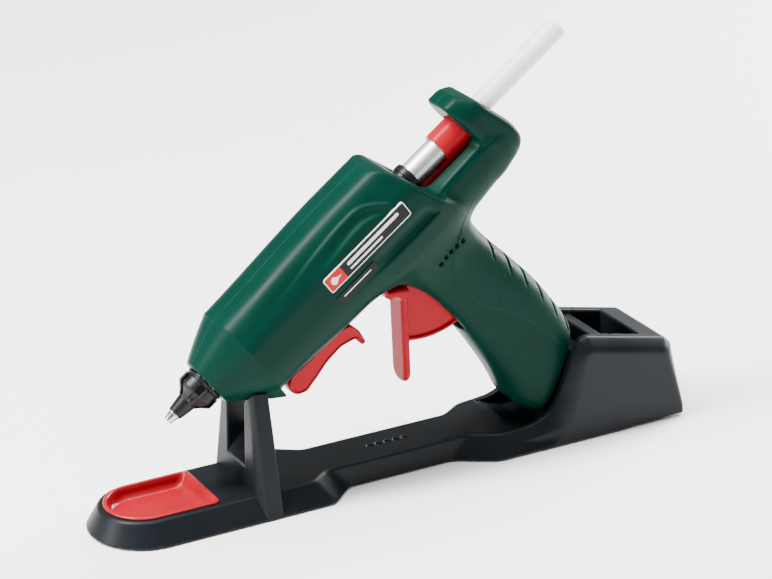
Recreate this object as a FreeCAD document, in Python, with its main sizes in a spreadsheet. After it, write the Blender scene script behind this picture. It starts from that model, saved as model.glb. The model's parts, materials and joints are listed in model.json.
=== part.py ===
import FreeCAD, Part
import os
import re
import Sketcher
from FreeCAD import Placement, Rotation, Vector

# Hot glue gun resting in its stand.
#
# Row frame: +Z up, z = 0 is the surface under the rubber feet, y = 0 is the mirror plane,
# the nozzle and the drip tray point towards -X, and x = 0 is the middle of the stand.
#
# Gun frame: its origin is the outlet of the nozzle, +X runs back along the glue stick,
# +Y is the row's +Y and +Z is square to the stick. Every gun piece is drawn in the gun
# frame and then placed by gun_placement(), which tilts it by axis_tilt.

DIMENSIONS = {
    # the gun in the row frame
    "outlet_x": -121.5,
    "outlet_z": 52.5,
    "axis_tilt": 36.9,
    # stand
    "stand_half_length": 164.0,
    "foot_height": 1.0,
    "deck_top": 12.5,
    "deck_half_bottom": 28.0,
    "deck_half_top": 21.5,
    "waist_half_bottom": 15.5,
    "waist_half_top": 13.5,
    "stand_wall": 2.6,
    "block_rim_half": 22.0,
    "block_peak": 56.0,
    "well_half": 18.8,
    "well_floor": 7.0,
    "well_front": 64.0,
    "well_back": 112.5,
    "rib_drop": 3.0,
    "stick_slot_front": 121.0,
    "stick_slot_back": 139.3,
    "stick_slot_half": 17.5,
    "plate_thick": 2.2,
    "foot_radius": 5.0,
    "gland_radius": 5.5,
    "gland_bore": 3.3,
    "gland_z": 10.5,
    "cradle_top": 68.0,
    "cradle_gap_half": 9.1,
    "nose_clearance": 0.5,
    "tray_radius": 19.5,
    "tray_centre": -136.0,
    "tray_rear": -102.8,
    "tray_depth": 6.6,
    "tray_wall": 1.3,
    # housing, gun frame
    "nose_front": 26.0,
    "nose_rear": 49.5,
    "barrel_rear": 151.0,
    "body_half": 22.5,
    "shell_wall": 2.5,
    "heel_slope": 27.1,
    # glue path
    "stick_radius": 5.6,
    "stick_front": 60.0,
    "stick_rear": 273.0,
    "tube_radius": 6.15,
    "tube_bore": 5.8,
    "collar_radius": 7.8,
    "collar_bore": 6.35,
    "collar_front": 187.0,
    "collar_rear": 203.0,
    "chamber_radius": 9.5,
    # trigger
    "pivot_x": 146.0,
    "pivot_z": -36.0,
    "pin_radius": 2.0,
    "running_gap": 0.05,
    "drive_pin_back": 5.806,
    "drive_pin_up": 23.286,
    "drive_pin_radius": 1.8,
    "trigger_half": 7.0,
    "web_radius": 44.0,
    "spring_pitch": 2.9,
    "spring_length": 22.6,
    "spring_radius": 2.9,
    "spring_wire_radius": 0.4,
    # fold-out leg
    "leg_pin_x": 59.0,
    "leg_pin_z": -34.5,
    "leg_pin_radius": 1.5,
    "leg_half": 9.0,
    # screws
    "screw_radius": 1.5,
    "screw_head": 2.8,
    "screw_gap": 0.05,
}

doc = FreeCAD.newDocument("glue_gun")
sheet = doc.addObject("Spreadsheet::Sheet", "dims")
for row, (alias, value) in enumerate(DIMENSIONS.items(), start=1):
    sheet.set(f"A{row}", alias)
    sheet.set(f"B{row}", str(value))
    sheet.setAlias(f"B{row}", alias)
doc.recompute()

nodes = []


# ---------------------------------------------------------------- drawing helpers


def named(expression):
    """The expression with every sheet alias in it written as dims.alias."""

    def prefix(match):
        word = match.group()
        return "dims." + word if word in DIMENSIONS else word

    return re.sub(r"[a-z_]+", prefix, str(expression))


def bind(thing, prop, expression):
    """Ties a property of a document object to an expression over the sheet."""
    thing.setExpression(prop, named(expression))


def draw(sketch, corners):
    """A closed outline with straight sides. Each corner is a pair of expressions."""
    count = len(corners)
    for index in range(count):
        here = Vector(index, index * index, 0)
        after = (index + 1) % count
        sketch.addGeometry(Part.LineSegment(here, Vector(after, after * after, 0)), False)
    for index in range(count):
        joined = Sketcher.Constraint("Coincident", index, 2, (index + 1) % count, 1)
        sketch.addConstraint(joined)
    for index, (across, up) in enumerate(corners):
        for direction, expression in (("DistanceX", across), ("DistanceY", up)):
            number = sketch.addConstraint(
                Sketcher.Constraint(direction, -1, 1, index, 1, float(index + 1))
            )
            sketch.setExpression(f"Constraints[{number}]", named(expression))


PLANES = {
    "XY": (Rotation(), "z"),
    "XZ": (Rotation(Vector(1, 0, 0), 90), "y"),
    "YZ": (Rotation(Vector(1, 1, 1), 120), "x"),
}


def outline(name, plane, corners, offset="0"):
    """A free sketch on a plane parallel to a principal one, at offset along its normal."""
    sketch = doc.addObject("Sketcher::SketchObject", name)
    draw(sketch, corners)
    rotation, normal = PLANES[plane]
    sketch.Placement = Placement(Vector(0, 0, 0), rotation)
    bind(sketch, f"Placement.Base.{normal}", offset)
    return sketch


def both_sides(half):
    """Corners given from the top down on the +Y side, followed by their mirror images."""
    return list(half) + [(f"-({across})", up) for across, up in reversed(half)]


def loft(name, sections):
    body = doc.addObject("Part::Loft", name)
    body.Sections = sections
    body.Solid = True
    body.Ruled = True
    return body


def slab(name, corners, half_width, plane="XZ", offset="0"):
    """An outline pushed out by half_width to both sides of its plane."""
    body = doc.addObject("Part::Extrusion", name)
    body.Base = outline(name + "_outline", plane, corners, offset)
    body.DirMode = "Normal"
    body.Solid = True
    body.Symmetric = True
    bind(body, "LengthFwd", f"2 * ({half_width})")
    return body


def box(name, x_range, y_range, z_range):
    body = doc.addObject("Part::Box", name)
    for side, axis, (low, high) in (
        ("Length", "x", x_range),
        ("Width", "y", y_range),
        ("Height", "z", z_range),
    ):
        bind(body, f"Placement.Base.{axis}", low)
        bind(body, side, f"({high}) - ({low})")
    return body


AXES = {
    "x": Rotation(Vector(0, 1, 0), 90),
    "y": Rotation(Vector(1, 0, 0), -90),
    "z": Rotation(),
}


def rod(name, axis, radius, start, end, across=("0", "0")):
    """A cylinder along an axis from start to end; across is its place on the other two."""
    body = doc.addObject("Part::Cylinder", name)
    body.Placement = Placement(Vector(0, 0, 0), AXES[axis])
    bind(body, "Radius", radius)
    bind(body, "Height", f"({end}) - ({start})")
    bind(body, f"Placement.Base.{axis}", start)
    for other, place in zip([a for a in "xyz" if a != axis], across):
        bind(body, f"Placement.Base.{other}", place)
    return body


def fuse(name, *shapes):
    body = doc.addObject("Part::MultiFuse", name)
    body.Shapes = list(shapes)
    return body


def cut(name, base, *tools):
    body = doc.addObject("Part::Cut", name)
    body.Base = base
    body.Tool = tools[0] if len(tools) == 1 else fuse(name + "_tools", *tools)
    return body


def common(name, *shapes):
    body = doc.addObject("Part::MultiCommon", name)
    body.Shapes = list(shapes)
    return body


def turned(name, profile):
    """A body of revolution about its own X axis; the profile is (along, radius) pairs."""
    body = doc.addObject("PartDesign::Body", name)
    sketch = body.newObject("Sketcher::SketchObject", name + "_profile")
    plane = [f for f in body.Origin.OriginFeatures if f.Role == "XZ_Plane"][0]
    sketch.AttachmentSupport = [(plane, "")]
    sketch.MapMode = "FlatFace"
    draw(sketch, profile)
    spun = body.newObject("PartDesign::Revolution", name + "_turned")
    spun.Profile = sketch
    spun.ReferenceAxis = (sketch, ["H_Axis"])
    spun.Angle = 360
    return body


def ring(name, inner, outer, start, end):
    """A plain tube about the gun's X axis."""
    return turned(name, [(start, inner), (end, inner), (end, outer), (start, outer)])


def gun_placement():
    base = Vector(float(sheet.get("outlet_x")), 0, float(sheet.get("outlet_z")))
    return Placement(base, Rotation(Vector(0, -1, 0), float(sheet.get("axis_tilt"))))


def keep(body, label, in_gun_frame=False):
    """Names a finished sub-part, which is exported under that name."""
    if in_gun_frame and body.TypeId in ("Part::Box", "Part::Cylinder"):
        group = doc.addObject("Part::Compound", label + "_piece")
        group.Links = [body]
        body = group
    body.Label = label
    if in_gun_frame:
        body.Placement = gun_placement()
    nodes.append(body)
    return body


# ---------------------------------------------------------------- stand


def deck_plan(half_wide, half_waist, front_turn, front_waist, rear_waist, rear_turn, rear):
    """Plan outline of the deck: wide front, narrow waist, wide rear."""
    half = [
        ("tray_centre", half_wide),
        (front_turn, half_wide),
        (front_waist, half_waist),
        (rear_waist, half_waist),
        (rear_turn, half_wide),
        (rear, half_wide),
    ]
    return half + [(along, f"-({across})") for along, across in reversed(half)]


def stand_outer():
    """The outside of the stand: round front end, waisted deck and tall rear block."""
    bottom = outline(
        "deck_bottom", "XY",
        deck_plan("deck_half_bottom", "waist_half_bottom", "-44", "-29.6", "29.4", "50",
                  "stand_half_length - 30"),
        "foot_height",
    )
    top = outline(
        "deck_crown", "XY",
        deck_plan("deck_half_top", "waist_half_top", "-53.5", "-42", "42", "54.5",
                  "stand_half_length - 30"),
        "deck_top",
    )
    deck = loft("deck_loft", [bottom, top])
    end = doc.addObject("Part::Cone", "deck_round_end")
    bind(end, "Radius1", "deck_half_bottom")
    bind(end, "Radius2", "deck_half_top")
    bind(end, "Height", "deck_top - foot_height")
    bind(end, "Placement.Base.x", "tray_centre")
    bind(end, "Placement.Base.z", "foot_height")
    rim = [
        ("62", "foot_height"), ("62", "deck_top"), ("73", "deck_top + 1"),
        ("83.4", "17.6"), ("88.4", "25.1"), ("93.4", "39.1"), ("97.2", "50.2"),
        ("100.5", "54.8"), ("103.6", "block_peak"), ("153", "block_peak - 10.9"),
        ("156", "block_peak - 14"), ("stand_half_length", "10"),
        ("stand_half_length", "foot_height"),
    ]
    panel = [
        ("62", "foot_height"), ("62", "foot_height + 0.4"), ("77", "2.6"),
        ("88", "7"), ("93.5", "14"), ("96.6", "27"), ("99", "43"),
        ("101.5", "48.2"), ("104.6", "50"), ("149", "40.4"),
        ("152.4", "37"), ("stand_half_length - 0.6", "5"),
        ("stand_half_length - 0.6", "foot_height"),
    ]
    core = slab("block_core", rim, "block_rim_half")
    cheeks = [
        loft(
            f"block_cheek_{side}",
            [
                outline(f"block_rim_{side}", "XZ", rim, f"{sign} * block_rim_half"),
                outline(f"block_panel_{side}", "XZ", panel, f"{sign} * deck_half_bottom"),
            ],
        )
        for side, sign in (("right", "1"), ("left", "-1"))
    ]
    return fuse("stand_outside", deck, end, core, *cheeks)


def tray_cup(name, radius, low, high):
    """The tray's outline, round in front and square behind, between two heights."""
    front = rod(name + "_round", "z", radius, low, high, ("tray_centre", "0"))
    rear = box(name + "_square", ("tray_centre", f"tray_rear - tray_radius + {radius}"),
               (f"-({radius})", radius), (low, high))
    return fuse(name, front, rear)


def build_stand():
    outside = stand_outer()
    wall = "stand_wall"
    cavity_bottom = outline(
        "cavity_bottom", "XY",
        deck_plan("deck_half_bottom - stand_wall", "waist_half_bottom - stand_wall",
                  "-45", "-30.6", "30.4", "51", "52"),
        "foot_height",
    )
    cavity_top = outline(
        "cavity_top", "XY",
        deck_plan("deck_half_top - 1.4", "waist_half_top - stand_wall",
                  "-53", "-41.5", "41.5", "51.5", "52"),
        "deck_top - stand_wall",
    )
    cavity = loft("front_cavity", [cavity_bottom, cavity_top])
    cavity_end = doc.addObject("Part::Cone", "cavity_round_end")
    bind(cavity_end, "Radius1", "deck_half_bottom - stand_wall")
    bind(cavity_end, "Radius2", "deck_half_top - 1.4")
    bind(cavity_end, "Height", "deck_top - stand_wall - foot_height")
    bind(cavity_end, "Placement.Base.x", "tray_centre")
    bind(cavity_end, "Placement.Base.z", "foot_height")
    rear_cavity = box("rear_cavity", ("50", f"stand_half_length - {wall} - 0.6"),
                      ("-deck_half_bottom + stand_wall", "deck_half_bottom - stand_wall"),
                      ("foot_height", "well_floor - stand_wall"))
    tail_cavity = box("tail_cavity", ("142", "155"), ("-15", "15"), ("foot_height", "34"))
    well = slab(
        "handle_well",
        [("well_front", "deck_top - 0.2"), ("well_front + 15", "well_floor"),
         ("well_back", "well_floor"), ("well_back", "80"), ("well_front", "80")],
        "well_half",
    )
    rib_room = slab(
        "rib_room",
        [("well_back - 1", "block_peak - 1.3 - rib_drop"),
         ("stick_slot_front + 1", "block_peak - 3.5 - rib_drop"),
         ("stick_slot_front + 1", "70"), ("well_back - 1", "70")],
        "stick_slot_half",
    )
    slot = box("stick_slot", ("stick_slot_front", "stick_slot_back"),
               ("-stick_slot_half", "stick_slot_half"), ("well_floor", "80"))
    tray_hole = tray_cup("tray_hole", "tray_radius - 1.5 + 0.3", "5", "20")
    gland_hole = rod("gland_hole", "x", "gland_radius", "150", "170", ("0", "gland_z"))
    bosses = [
        rod(f"stand_boss_{index}", "z", "3.6", "foot_height + plate_thick",
            "deck_top - 1", (x, y))
        for index, (x, y) in enumerate(STAND_SCREWS)
    ]
    holes = [
        rod(f"stand_screw_hole_{index}", "z", "screw_radius + screw_gap",
            "foot_height", "foot_height + 8.4", (x, y))
        for index, (x, y) in enumerate(STAND_SCREWS)
    ]
    hollow = cut("stand_hollow", outside, cavity, cavity_end, rear_cavity, tail_cavity)
    bossed = fuse("stand_bossed", hollow, *bosses)
    base = cut("stand_base_body", bossed, well, rib_room, slot, tray_hole, gland_hole, *holes)
    keep(base, "stand_base")

    plate_plan = deck_plan(
        "deck_half_bottom - stand_wall - 1.8", "waist_half_bottom - stand_wall - 1",
        "-49", "-35", "35", "54", "stand_half_length - stand_wall - 1",
    )
    plate = slab("bottom_plate_main", plate_plan, "plate_thick / 2", "XY",
                 "foot_height + plate_thick / 2")
    plate_end = rod("bottom_plate_end", "z", "deck_half_bottom - stand_wall - 1.8",
                    "foot_height", "foot_height + plate_thick", ("tray_centre", "0"))
    plate_holes = [
        rod(f"plate_hole_{index}", "z", "screw_radius + 0.2", "0", "8", (x, y))
        for index, (x, y) in enumerate(STAND_SCREWS)
    ]
    sinks = [
        rod(f"plate_sink_{index}", "z", "screw_head + 0.2", "0", "foot_height + 0.9", (x, y))
        for index, (x, y) in enumerate(STAND_SCREWS)
    ]
    foot_seats = [
        rod(f"foot_seat_{index}", "z", "foot_radius + 0.1", "0", "foot_height + 0.8", (x, y))
        for index, (x, y) in enumerate(RUBBER_FEET)
    ]
    bottom = cut("stand_bottom_body", fuse("bottom_plate", plate, plate_end),
                 *plate_holes, *sinks, *foot_seats)
    keep(bottom, "stand_bottom_plate")

    feet = [
        rod(f"rubber_foot_{index}", "z", "foot_radius", "0", "foot_height + 0.8", (x, y))
        for index, (x, y) in enumerate(RUBBER_FEET)
    ]
    keep(fuse("rubber_feet_group", *feet), "rubber_feet")

    screws = []
    for index, (x, y) in enumerate(STAND_SCREWS):
        shank = rod(f"stand_shank_{index}", "z", "screw_radius", "foot_height + 0.9",
                    "foot_height + 8.2", (x, y))
        head = rod(f"stand_head_{index}", "z", "screw_head", "0.2", "foot_height + 0.9", (x, y))
        screws.append(fuse(f"stand_screw_{index}", shank, head))
    keep(fuse("stand_screw_group", *screws), "stand_screws")

    gland_ring = rod("gland_ring", "x", "gland_radius - 0.05", "154.5", "stand_half_length - 0.2",
                     ("0", "gland_z"))
    gland_bore = rod("gland_bore_tool", "x", "gland_bore", "150", "170", ("0", "gland_z"))
    keep(cut("gland_body", gland_ring, gland_bore), "cord_gland")
    return outside


STAND_SCREWS = [("-62", "15"), ("-62", "-15"), ("146", "20"), ("146", "-20")]
RUBBER_FEET = [("-140", "14"), ("-140", "-14"), ("128", "18"), ("128", "-18")]


def build_cradle(stand_outside, nose_tool):
    """The post that carries the nose: two arms that straddle the deck, joined by a saddle."""
    low = [("-85.2", "cradle_gap_half"), ("-86.2", "22.5"), ("-82.4", "deck_half_bottom"),
           ("-73", "deck_half_bottom"), ("-72", "cradle_gap_half")]
    high = [("-84.8", "cradle_gap_half"), ("-84.4", "13"), ("-83", "16"),
            ("-76", "16"), ("-75", "cradle_gap_half")]
    sections = [
        outline(f"cradle_{name}", "XY",
                half + [(x, f"-({y})") for x, y in reversed(half)], height)
        for name, half, height in (("low", low, "foot_height"), ("high", high, "cradle_top"))
    ]
    block = loft("cradle_block", sections)
    gap = slab(
        "cradle_gap",
        [("-95", "23.3"), ("-85.3", "23.3"), ("-72", "38"), ("-60", "38"),
         ("-60", "90"), ("-95", "90")],
        "cradle_gap_half",
    )
    keep(cut("cradle_body", block, gap, nose_tool, stand_outside), "nose_cradle")


def build_tray():
    rim_low = "deck_top"
    cup = tray_cup("tray_outside", "tray_radius - 1.5", "deck_top - tray_depth", "deck_top + 0.6")
    rim = tray_cup("tray_rim", "tray_radius", rim_low, "deck_top + 1.3")
    hollow = tray_cup("tray_inside", "tray_radius - 1.5 - tray_wall",
                      "deck_top - tray_depth + tray_wall", "deck_top + 5")
    keep(cut("tray_body", fuse("tray_solid", cup, rim), hollow), "drip_tray")


def build_contacts():
    """Contact socket at the back of the well; its face is parallel to the gun's heel."""
    socket = slab(
        "contact_socket_block",
        [("88.6", "well_floor"), ("88.6", "13.4"), ("103.6", "43.4"), ("112.3", "43.4"),
         ("112.3", "well_floor")],
        "9",
    )
    pins = []
    holes = []
    for index, side in enumerate(("-5", "5")):
        for name, radius, group in (("pin", 1.6, pins), ("hole", 1.65, holes)):
            body = doc.addObject("Part::Cylinder", f"contact_{name}_{index}")
            body.Radius = radius
            body.Height = 7.0
            body.Placement = Placement(Vector(101.6, 0, 25.3), Rotation(Vector(0, 1, 0), -63.4))
            bind(body, "Placement.Base.y", side)
            group.append(body)
    keep(cut("contact_socket_body", socket, *holes), "contact_socket")
    keep(fuse("base_contact_group", *pins), "base_contacts")


# ---------------------------------------------------------------- gun housing, gun frame


def nose_half(inset):
    """Half outline of the nose's round front face."""
    return [(f"6 - {inset} * 0.47", f"11.2 - {inset} * 0.88"),
            (f"10 - {inset} * 0.79", f"7.8 - {inset} * 0.61"),
            (f"12.3 - {inset} * 0.97", f"3.1 - {inset} * 0.24"),
            (f"12.1 - {inset} * 0.95", f"-3.9 + {inset} * 0.31"),
            (f"8.5 - {inset} * 0.67", f"-9.4 + {inset} * 0.74"),
            (f"3.9 - {inset} * 0.31", f"-12.1 + {inset} * 0.95")]


def barrel_half(inset, crown, shoulder, low_side, low_edge, floor):
    """Half outline of the barrel: flat crown, shoulder, side, lower facet and floor."""
    return [(f"12.6 - {inset} * 0.5", f"{crown} - {inset}"),
            (f"18.6 - {inset} * 0.8", f"{shoulder} - {inset} * 0.6"),
            (f"body_half - {inset}", f"9 - {inset} * 0.2"),
            (f"body_half - {inset}", f"-11 + {inset} * 0.2"),
            (f"{low_side} - {inset} * 0.85", f"{low_edge} + {inset} * 0.5"),
            (f"11 - {inset} * 0.4", f"{floor} + {inset}")]


def barrel_solid(name, inset):
    """Nose and barrel, drawn inset from the outside; a negative inset enlarges them."""
    nose = loft(
        name + "_nose",
        [
            outline(name + "_front", "YZ", both_sides(nose_half(inset)), f"nose_front + {inset}"),
            outline(name + "_nose_end", "YZ",
                    both_sides(barrel_half(inset, "22.5", "17.5", "17", "-18.5", "-24.5")),
                    "nose_rear"),
        ],
    )
    barrel = loft(
        name + "_barrel",
        [
            outline(name + "_start", "YZ",
                    both_sides(barrel_half(inset, "22.5", "17.5", "18.5", "-21.5", "-26.5")),
                    "nose_rear"),
            outline(name + "_mid", "YZ",
                    both_sides(barrel_half(inset, "26.3", "20", "19", "-24.5", "-29.5")),
                    "barrel_rear"),
        ],
    )
    tail = loft(
        name + "_tail",
        [
            outline(name + "_tail_start", "YZ",
                    both_sides(barrel_half(inset, "26.3", "20", "19", "-24.5", "-29.5")),
                    "barrel_rear"),
            outline(name + "_tail_end", "YZ",
                    both_sides([(f"10 - {inset}", f"20 - {inset}"),
                                (f"14 - {inset}", f"15 - {inset}"),
                                (f"17.5 - {inset}", "7"),
                                (f"18.5 - {inset}", "-10"),
                                (f"17 - {inset}", f"-26 + {inset}"),
                                (f"11 - {inset}", f"-32 + {inset}")]),
                    f"172 - {inset}"),
        ],
    )
    rear = slab(
        name + "_rear_cut",
        [("barrel_rear - 3", f"28.5 - {inset}"), ("barrel_rear", f"26.3 - {inset}"),
         (f"157.8 - {inset}", f"22 - {inset} * 0.4"), (f"170.4 - {inset}", "-14"),
         ("190", "-14"), ("190", "50"), ("barrel_rear - 3", "50")],
        "30",
    )
    return nose, cut(name + "_trimmed", fuse(name + "_whole", barrel, tail), rear)


HANDLE_LEVELS = [
    # height, front, rear, half width
    ("-22", "124", "176", "19"),
    ("-40", "128", "176", "16.5"),
    ("-52", "133.8", "174.5", "15"),
    ("-75", "137", "181", "15"),
    ("-100", "137.8", "184", "15.5"),
    ("-125", "136", "184", "16.5"),
    ("-158", "131.5", "181", "17"),
]


def handle_solid(name, inset):
    sections = []
    for index, (height, front, rear, half) in enumerate(HANDLE_LEVELS):
        side = [(f"{front} + {inset}", f"5 - {inset} * 0.3"),
                (f"{front} + 6 + {inset} * 0.5", f"{half} - 3 - {inset} * 0.8"),
                (f"{front} + 14", f"{half} - {inset}"),
                (f"{rear} - 14", f"{half} - {inset}"),
                (f"{rear} - 4 - {inset} * 0.5", f"{half} - 4.5 - {inset} * 0.8"),
                (f"{rear} - {inset}", f"5 - {inset} * 0.3")]
        plan = side + [(along, f"-({across})") for along, across in reversed(side)]
        sections.append(outline(f"{name}_level_{index}", "XY", plan, height))
    grip = loft(name + "_grip", sections)
    heel = slab(
        name + "_heel_cut",
        [("110", "-136"), (f"131.5 + {inset}", f"-141 + {inset}"),
         (f"136 + {inset}", f"-150 + {inset}"), ("144.2", f"-154.4 + {inset}"),
         ("178.5", f"-136.8 + {inset}"), ("200", f"-125.8 + {inset}"),
         ("200", "-190"), ("110", "-190")],
        "30",
    )
    return cut(name + "_trimmed", grip, heel)


def spine_solid(name, inset):
    """The spine that runs back from the body under the guide tube."""
    stations = [
        (f"158 + {inset}", [("17.5", "-8"), ("19", "-12"), ("18.5", "-27"), ("13", "-36")]),
        ("182", [("15.5", "-8"), ("17.5", "-11.5"), ("17", "-27"), ("12.5", "-35")]),
        ("202", [("14", "-7.5"), ("16", "-11"), ("15.8", "-26"), ("12", "-32")]),
        (f"216 - {inset}", [("13", "-7.5"), ("15.2", "-11"), ("15", "-22"), ("11", "-27.5")]),
    ]
    sections = []
    for index, (place, half) in enumerate(stations):
        shifts = [(1, -1), (1, -1), (1, 0.5), (0.7, 1)]
        corners = [
            (f"{y} - {inset} * {dy}", f"{z} + {inset} * {dz}")
            for (y, z), (dy, dz) in zip(half, shifts)
        ]
        sections.append(outline(f"{name}_station_{index}", "YZ", both_sides(corners), place))
    return loft(name, sections)


def hoop_solid():
    """The hoop at the rear that guides the glue stick."""
    side = slab(
        "hoop_side",
        [("204", "-9"), ("200.8", "6"), ("199.6", "15"), ("200.4", "18.2"), ("207", "17.5"),
         ("212.5", "13"), ("218.5", "-2"), ("221.6", "-14"), ("221.6", "-21"),
         ("218", "-27"), ("212", "-30"), ("203", "-31")],
        "20",
    )
    front = slab(
        "hoop_front",
        both_sides([("8", "18.3"), ("13.5", "13"), ("15", "6"), ("15.2", "-20"), ("12", "-31")]),
        "20", "YZ", "210",
    )
    return common("hoop", side, front)


HOUSING_SCREWS = [
    # place along and across the gun axis, and the y of the seat under the screw's head
    ("64", "16.5", "12.5"), ("142", "19.5", "12.5"), ("104", "-20.5", "15.5"),
    ("184", "-23", "13.5"), ("167", "-62", "10.5"), ("160", "-132", "13"),
]


def build_housing():
    nose, barrel = barrel_solid("outer", "0")
    nose_in, barrel_in = barrel_solid("inner", "shell_wall")
    grip = handle_solid("handle_outer", "0")
    grip_in = handle_solid("handle_inner", "shell_wall")
    spine = spine_solid("spine_outer", "0")
    hoop = hoop_solid()
    chin = box("chin", ("nose_rear", "nose_rear + 2"), ("-15.5", "15.5"), ("-30.5", "-18"))
    lug_plate = box("leg_lug_plate", ("leg_pin_x - 4", "leg_pin_x + 4"), ("-3", "3"),
                    ("leg_pin_z", "-22"))
    lug_end = rod("leg_lug_end", "y", "4", "-3", "3", ("leg_pin_x", "leg_pin_z"))
    outside = fuse("housing_outside", nose, barrel, grip, spine, hoop, chin)

    passage = box("barrel_to_handle", ("132", "171"), ("-13", "13"), ("-45", "-15"))
    spine_in = box("spine_hollow", ("165", "196"), ("-11", "11"), ("-29.5", "-16.5"))
    hollow = cut("housing_hollow", outside, nose_in, barrel_in, grip_in, passage, spine_in)

    bosses = [
        rod(f"boss_{index}", "y", "3.6", "-30", "30", (along, up))
        for index, (along, up, seat) in enumerate(HOUSING_SCREWS)
    ]
    bosses.append(rod("pivot_boss", "y", "pin_radius + 2.4", "-30", "30", ("pivot_x", "pivot_z")))
    spring_rib = box("spring_rib", ("119", "121.5"), ("-21", "21"), ("-17.5", "-8.4"))
    tube_rib = box("tube_rib", ("156.5", "159"), ("-20", "20"), ("-12", "12"))
    chamber_rib = box("chamber_rib", ("42", "44"), ("-21", "21"), ("-15", "15"))
    inlet_rib = box("inlet_rib", ("111", "113"), ("-21", "21"), ("-15", "15"))
    rib_stock = fuse("rib_stock", *bosses, spring_rib, tube_rib, chamber_rib, inlet_rib)
    ribs = common("housing_ribs", rib_stock, outside)
    ribbed = fuse("housing_ribbed", hollow, ribs, lug_plate, lug_end)

    openings = [
        rod("front_hole", "x", "10", "20", "36"),
        rod("tube_hole", "x", "8.1", "150", "175"),
        rod("chamber_hole", "x", "chamber_radius + 0.1", "40", "46"),
        rod("inlet_hole", "x", "8.7", "110", "114"),
        box("rail_channel", ("140", "204"), ("-7", "7"), ("-16.5", "-4")),
        box("tube_channel", ("163", "204"), ("-9.5", "9.5"), ("-13.5", "30")),
        rod("collar_recess", "x", "8.4", "190", "209.5"),
        rod("stick_hole", "x", "6.2", "195", "230"),
        slab("trigger_slot",
             [("112", "-20"), ("112", "-60"), ("122", "-84.5"), ("146", "-84.5"), ("152", "-45"),
              ("160", "-20"), ("160", "-9"), ("140", "-9"), ("123", "-20")],
             "trigger_half + 0.6"),
        rod("pivot_hole", "y", "pin_radius + 0.02", "-13.5", "13.5", ("pivot_x", "pivot_z")),
        rod("leg_pin_hole", "y", "leg_pin_radius + 0.02", "-5", "5", ("leg_pin_x", "leg_pin_z")),
        heel_block("heel_opening", 10.1, 8.1, 12.0, 3.5),
    ]
    for index, (along, up, seat) in enumerate(HOUSING_SCREWS):
        openings.append(rod(f"screw_way_{index}", "y", "screw_radius + screw_gap",
                            "-9.5", "20", (along, up)))
        openings.append(rod(f"screw_sink_{index}", "y", "screw_head + 0.3",
                            seat, "30", (along, up)))
    shell = cut("housing_shell", ribbed, *openings)
    left_half = box("left_half", ("0", "300"), ("-40", "0"), ("-200", "60"))
    right_half = box("right_half", ("0", "300"), ("0", "40"), ("-200", "60"))
    keep(common("housing_left_body", shell, left_half), "housing_left", True)
    keep(common("housing_right_body", shell, right_half), "housing_right", True)

    screws = []
    for index, (along, up, seat) in enumerate(HOUSING_SCREWS):
        shank = rod(f"shank_{index}", "y", "screw_radius", "-9", seat, (along, up))
        head = rod(f"head_{index}", "y", "screw_head", seat, f"{seat} + 1.8", (along, up))
        recess = rod(f"drive_{index}", "y", "1.1", f"{seat} + 0.8", f"{seat} + 3", (along, up))
        screws.append(cut(f"screw_{index}", fuse(f"screw_blank_{index}", shank, head), recess))
    keep(fuse("housing_screw_group", *screws), "housing_screws", True)

    big_nose, big_barrel = barrel_solid("cradle_room", "-nose_clearance")
    nose_tool = fuse("nose_room", big_nose, big_barrel)
    nose_tool.Placement = gun_placement()
    return nose_tool


def heel_block(name, half_length, half_width, thickness, sink):
    """A block square to the heel face, centred on it and sunk into it."""
    body = doc.addObject("Part::Box", name)
    body.Length = 2 * half_length
    body.Width = 2 * half_width
    body.Height = thickness
    slope = Rotation(Vector(0, -1, 0), float(sheet.get("heel_slope")))
    middle = Vector(162.0, 0, -145.3)
    corner = slope.multVec(Vector(-half_length, -half_width, sink - thickness))
    body.Placement = Placement(middle + corner, slope)
    return body


def build_heel():
    plate = heel_block("heel_plate_block", 10.0, 8.0, 2.9, 2.6)
    pads = []
    seats = []
    for index, side in enumerate((-5.0, 5.0)):
        for name, size, group in (("pad", 3.0, pads), ("seat", 3.05, seats)):
            pad = heel_block(f"heel_{name}_{index}", size, 1.9 + (size - 3.0), 1.2, 0.9)
            pad.Placement = Placement(pad.Placement.Base + Vector(0, side, 0),
                                      pad.Placement.Rotation)
            group.append(pad)
    keep(cut("heel_plate_body", plate, *seats), "heel_plate", True)
    keep(fuse("heel_contact_group", *pads), "heel_contacts", True)


# ---------------------------------------------------------------- hot end, gun frame


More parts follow.
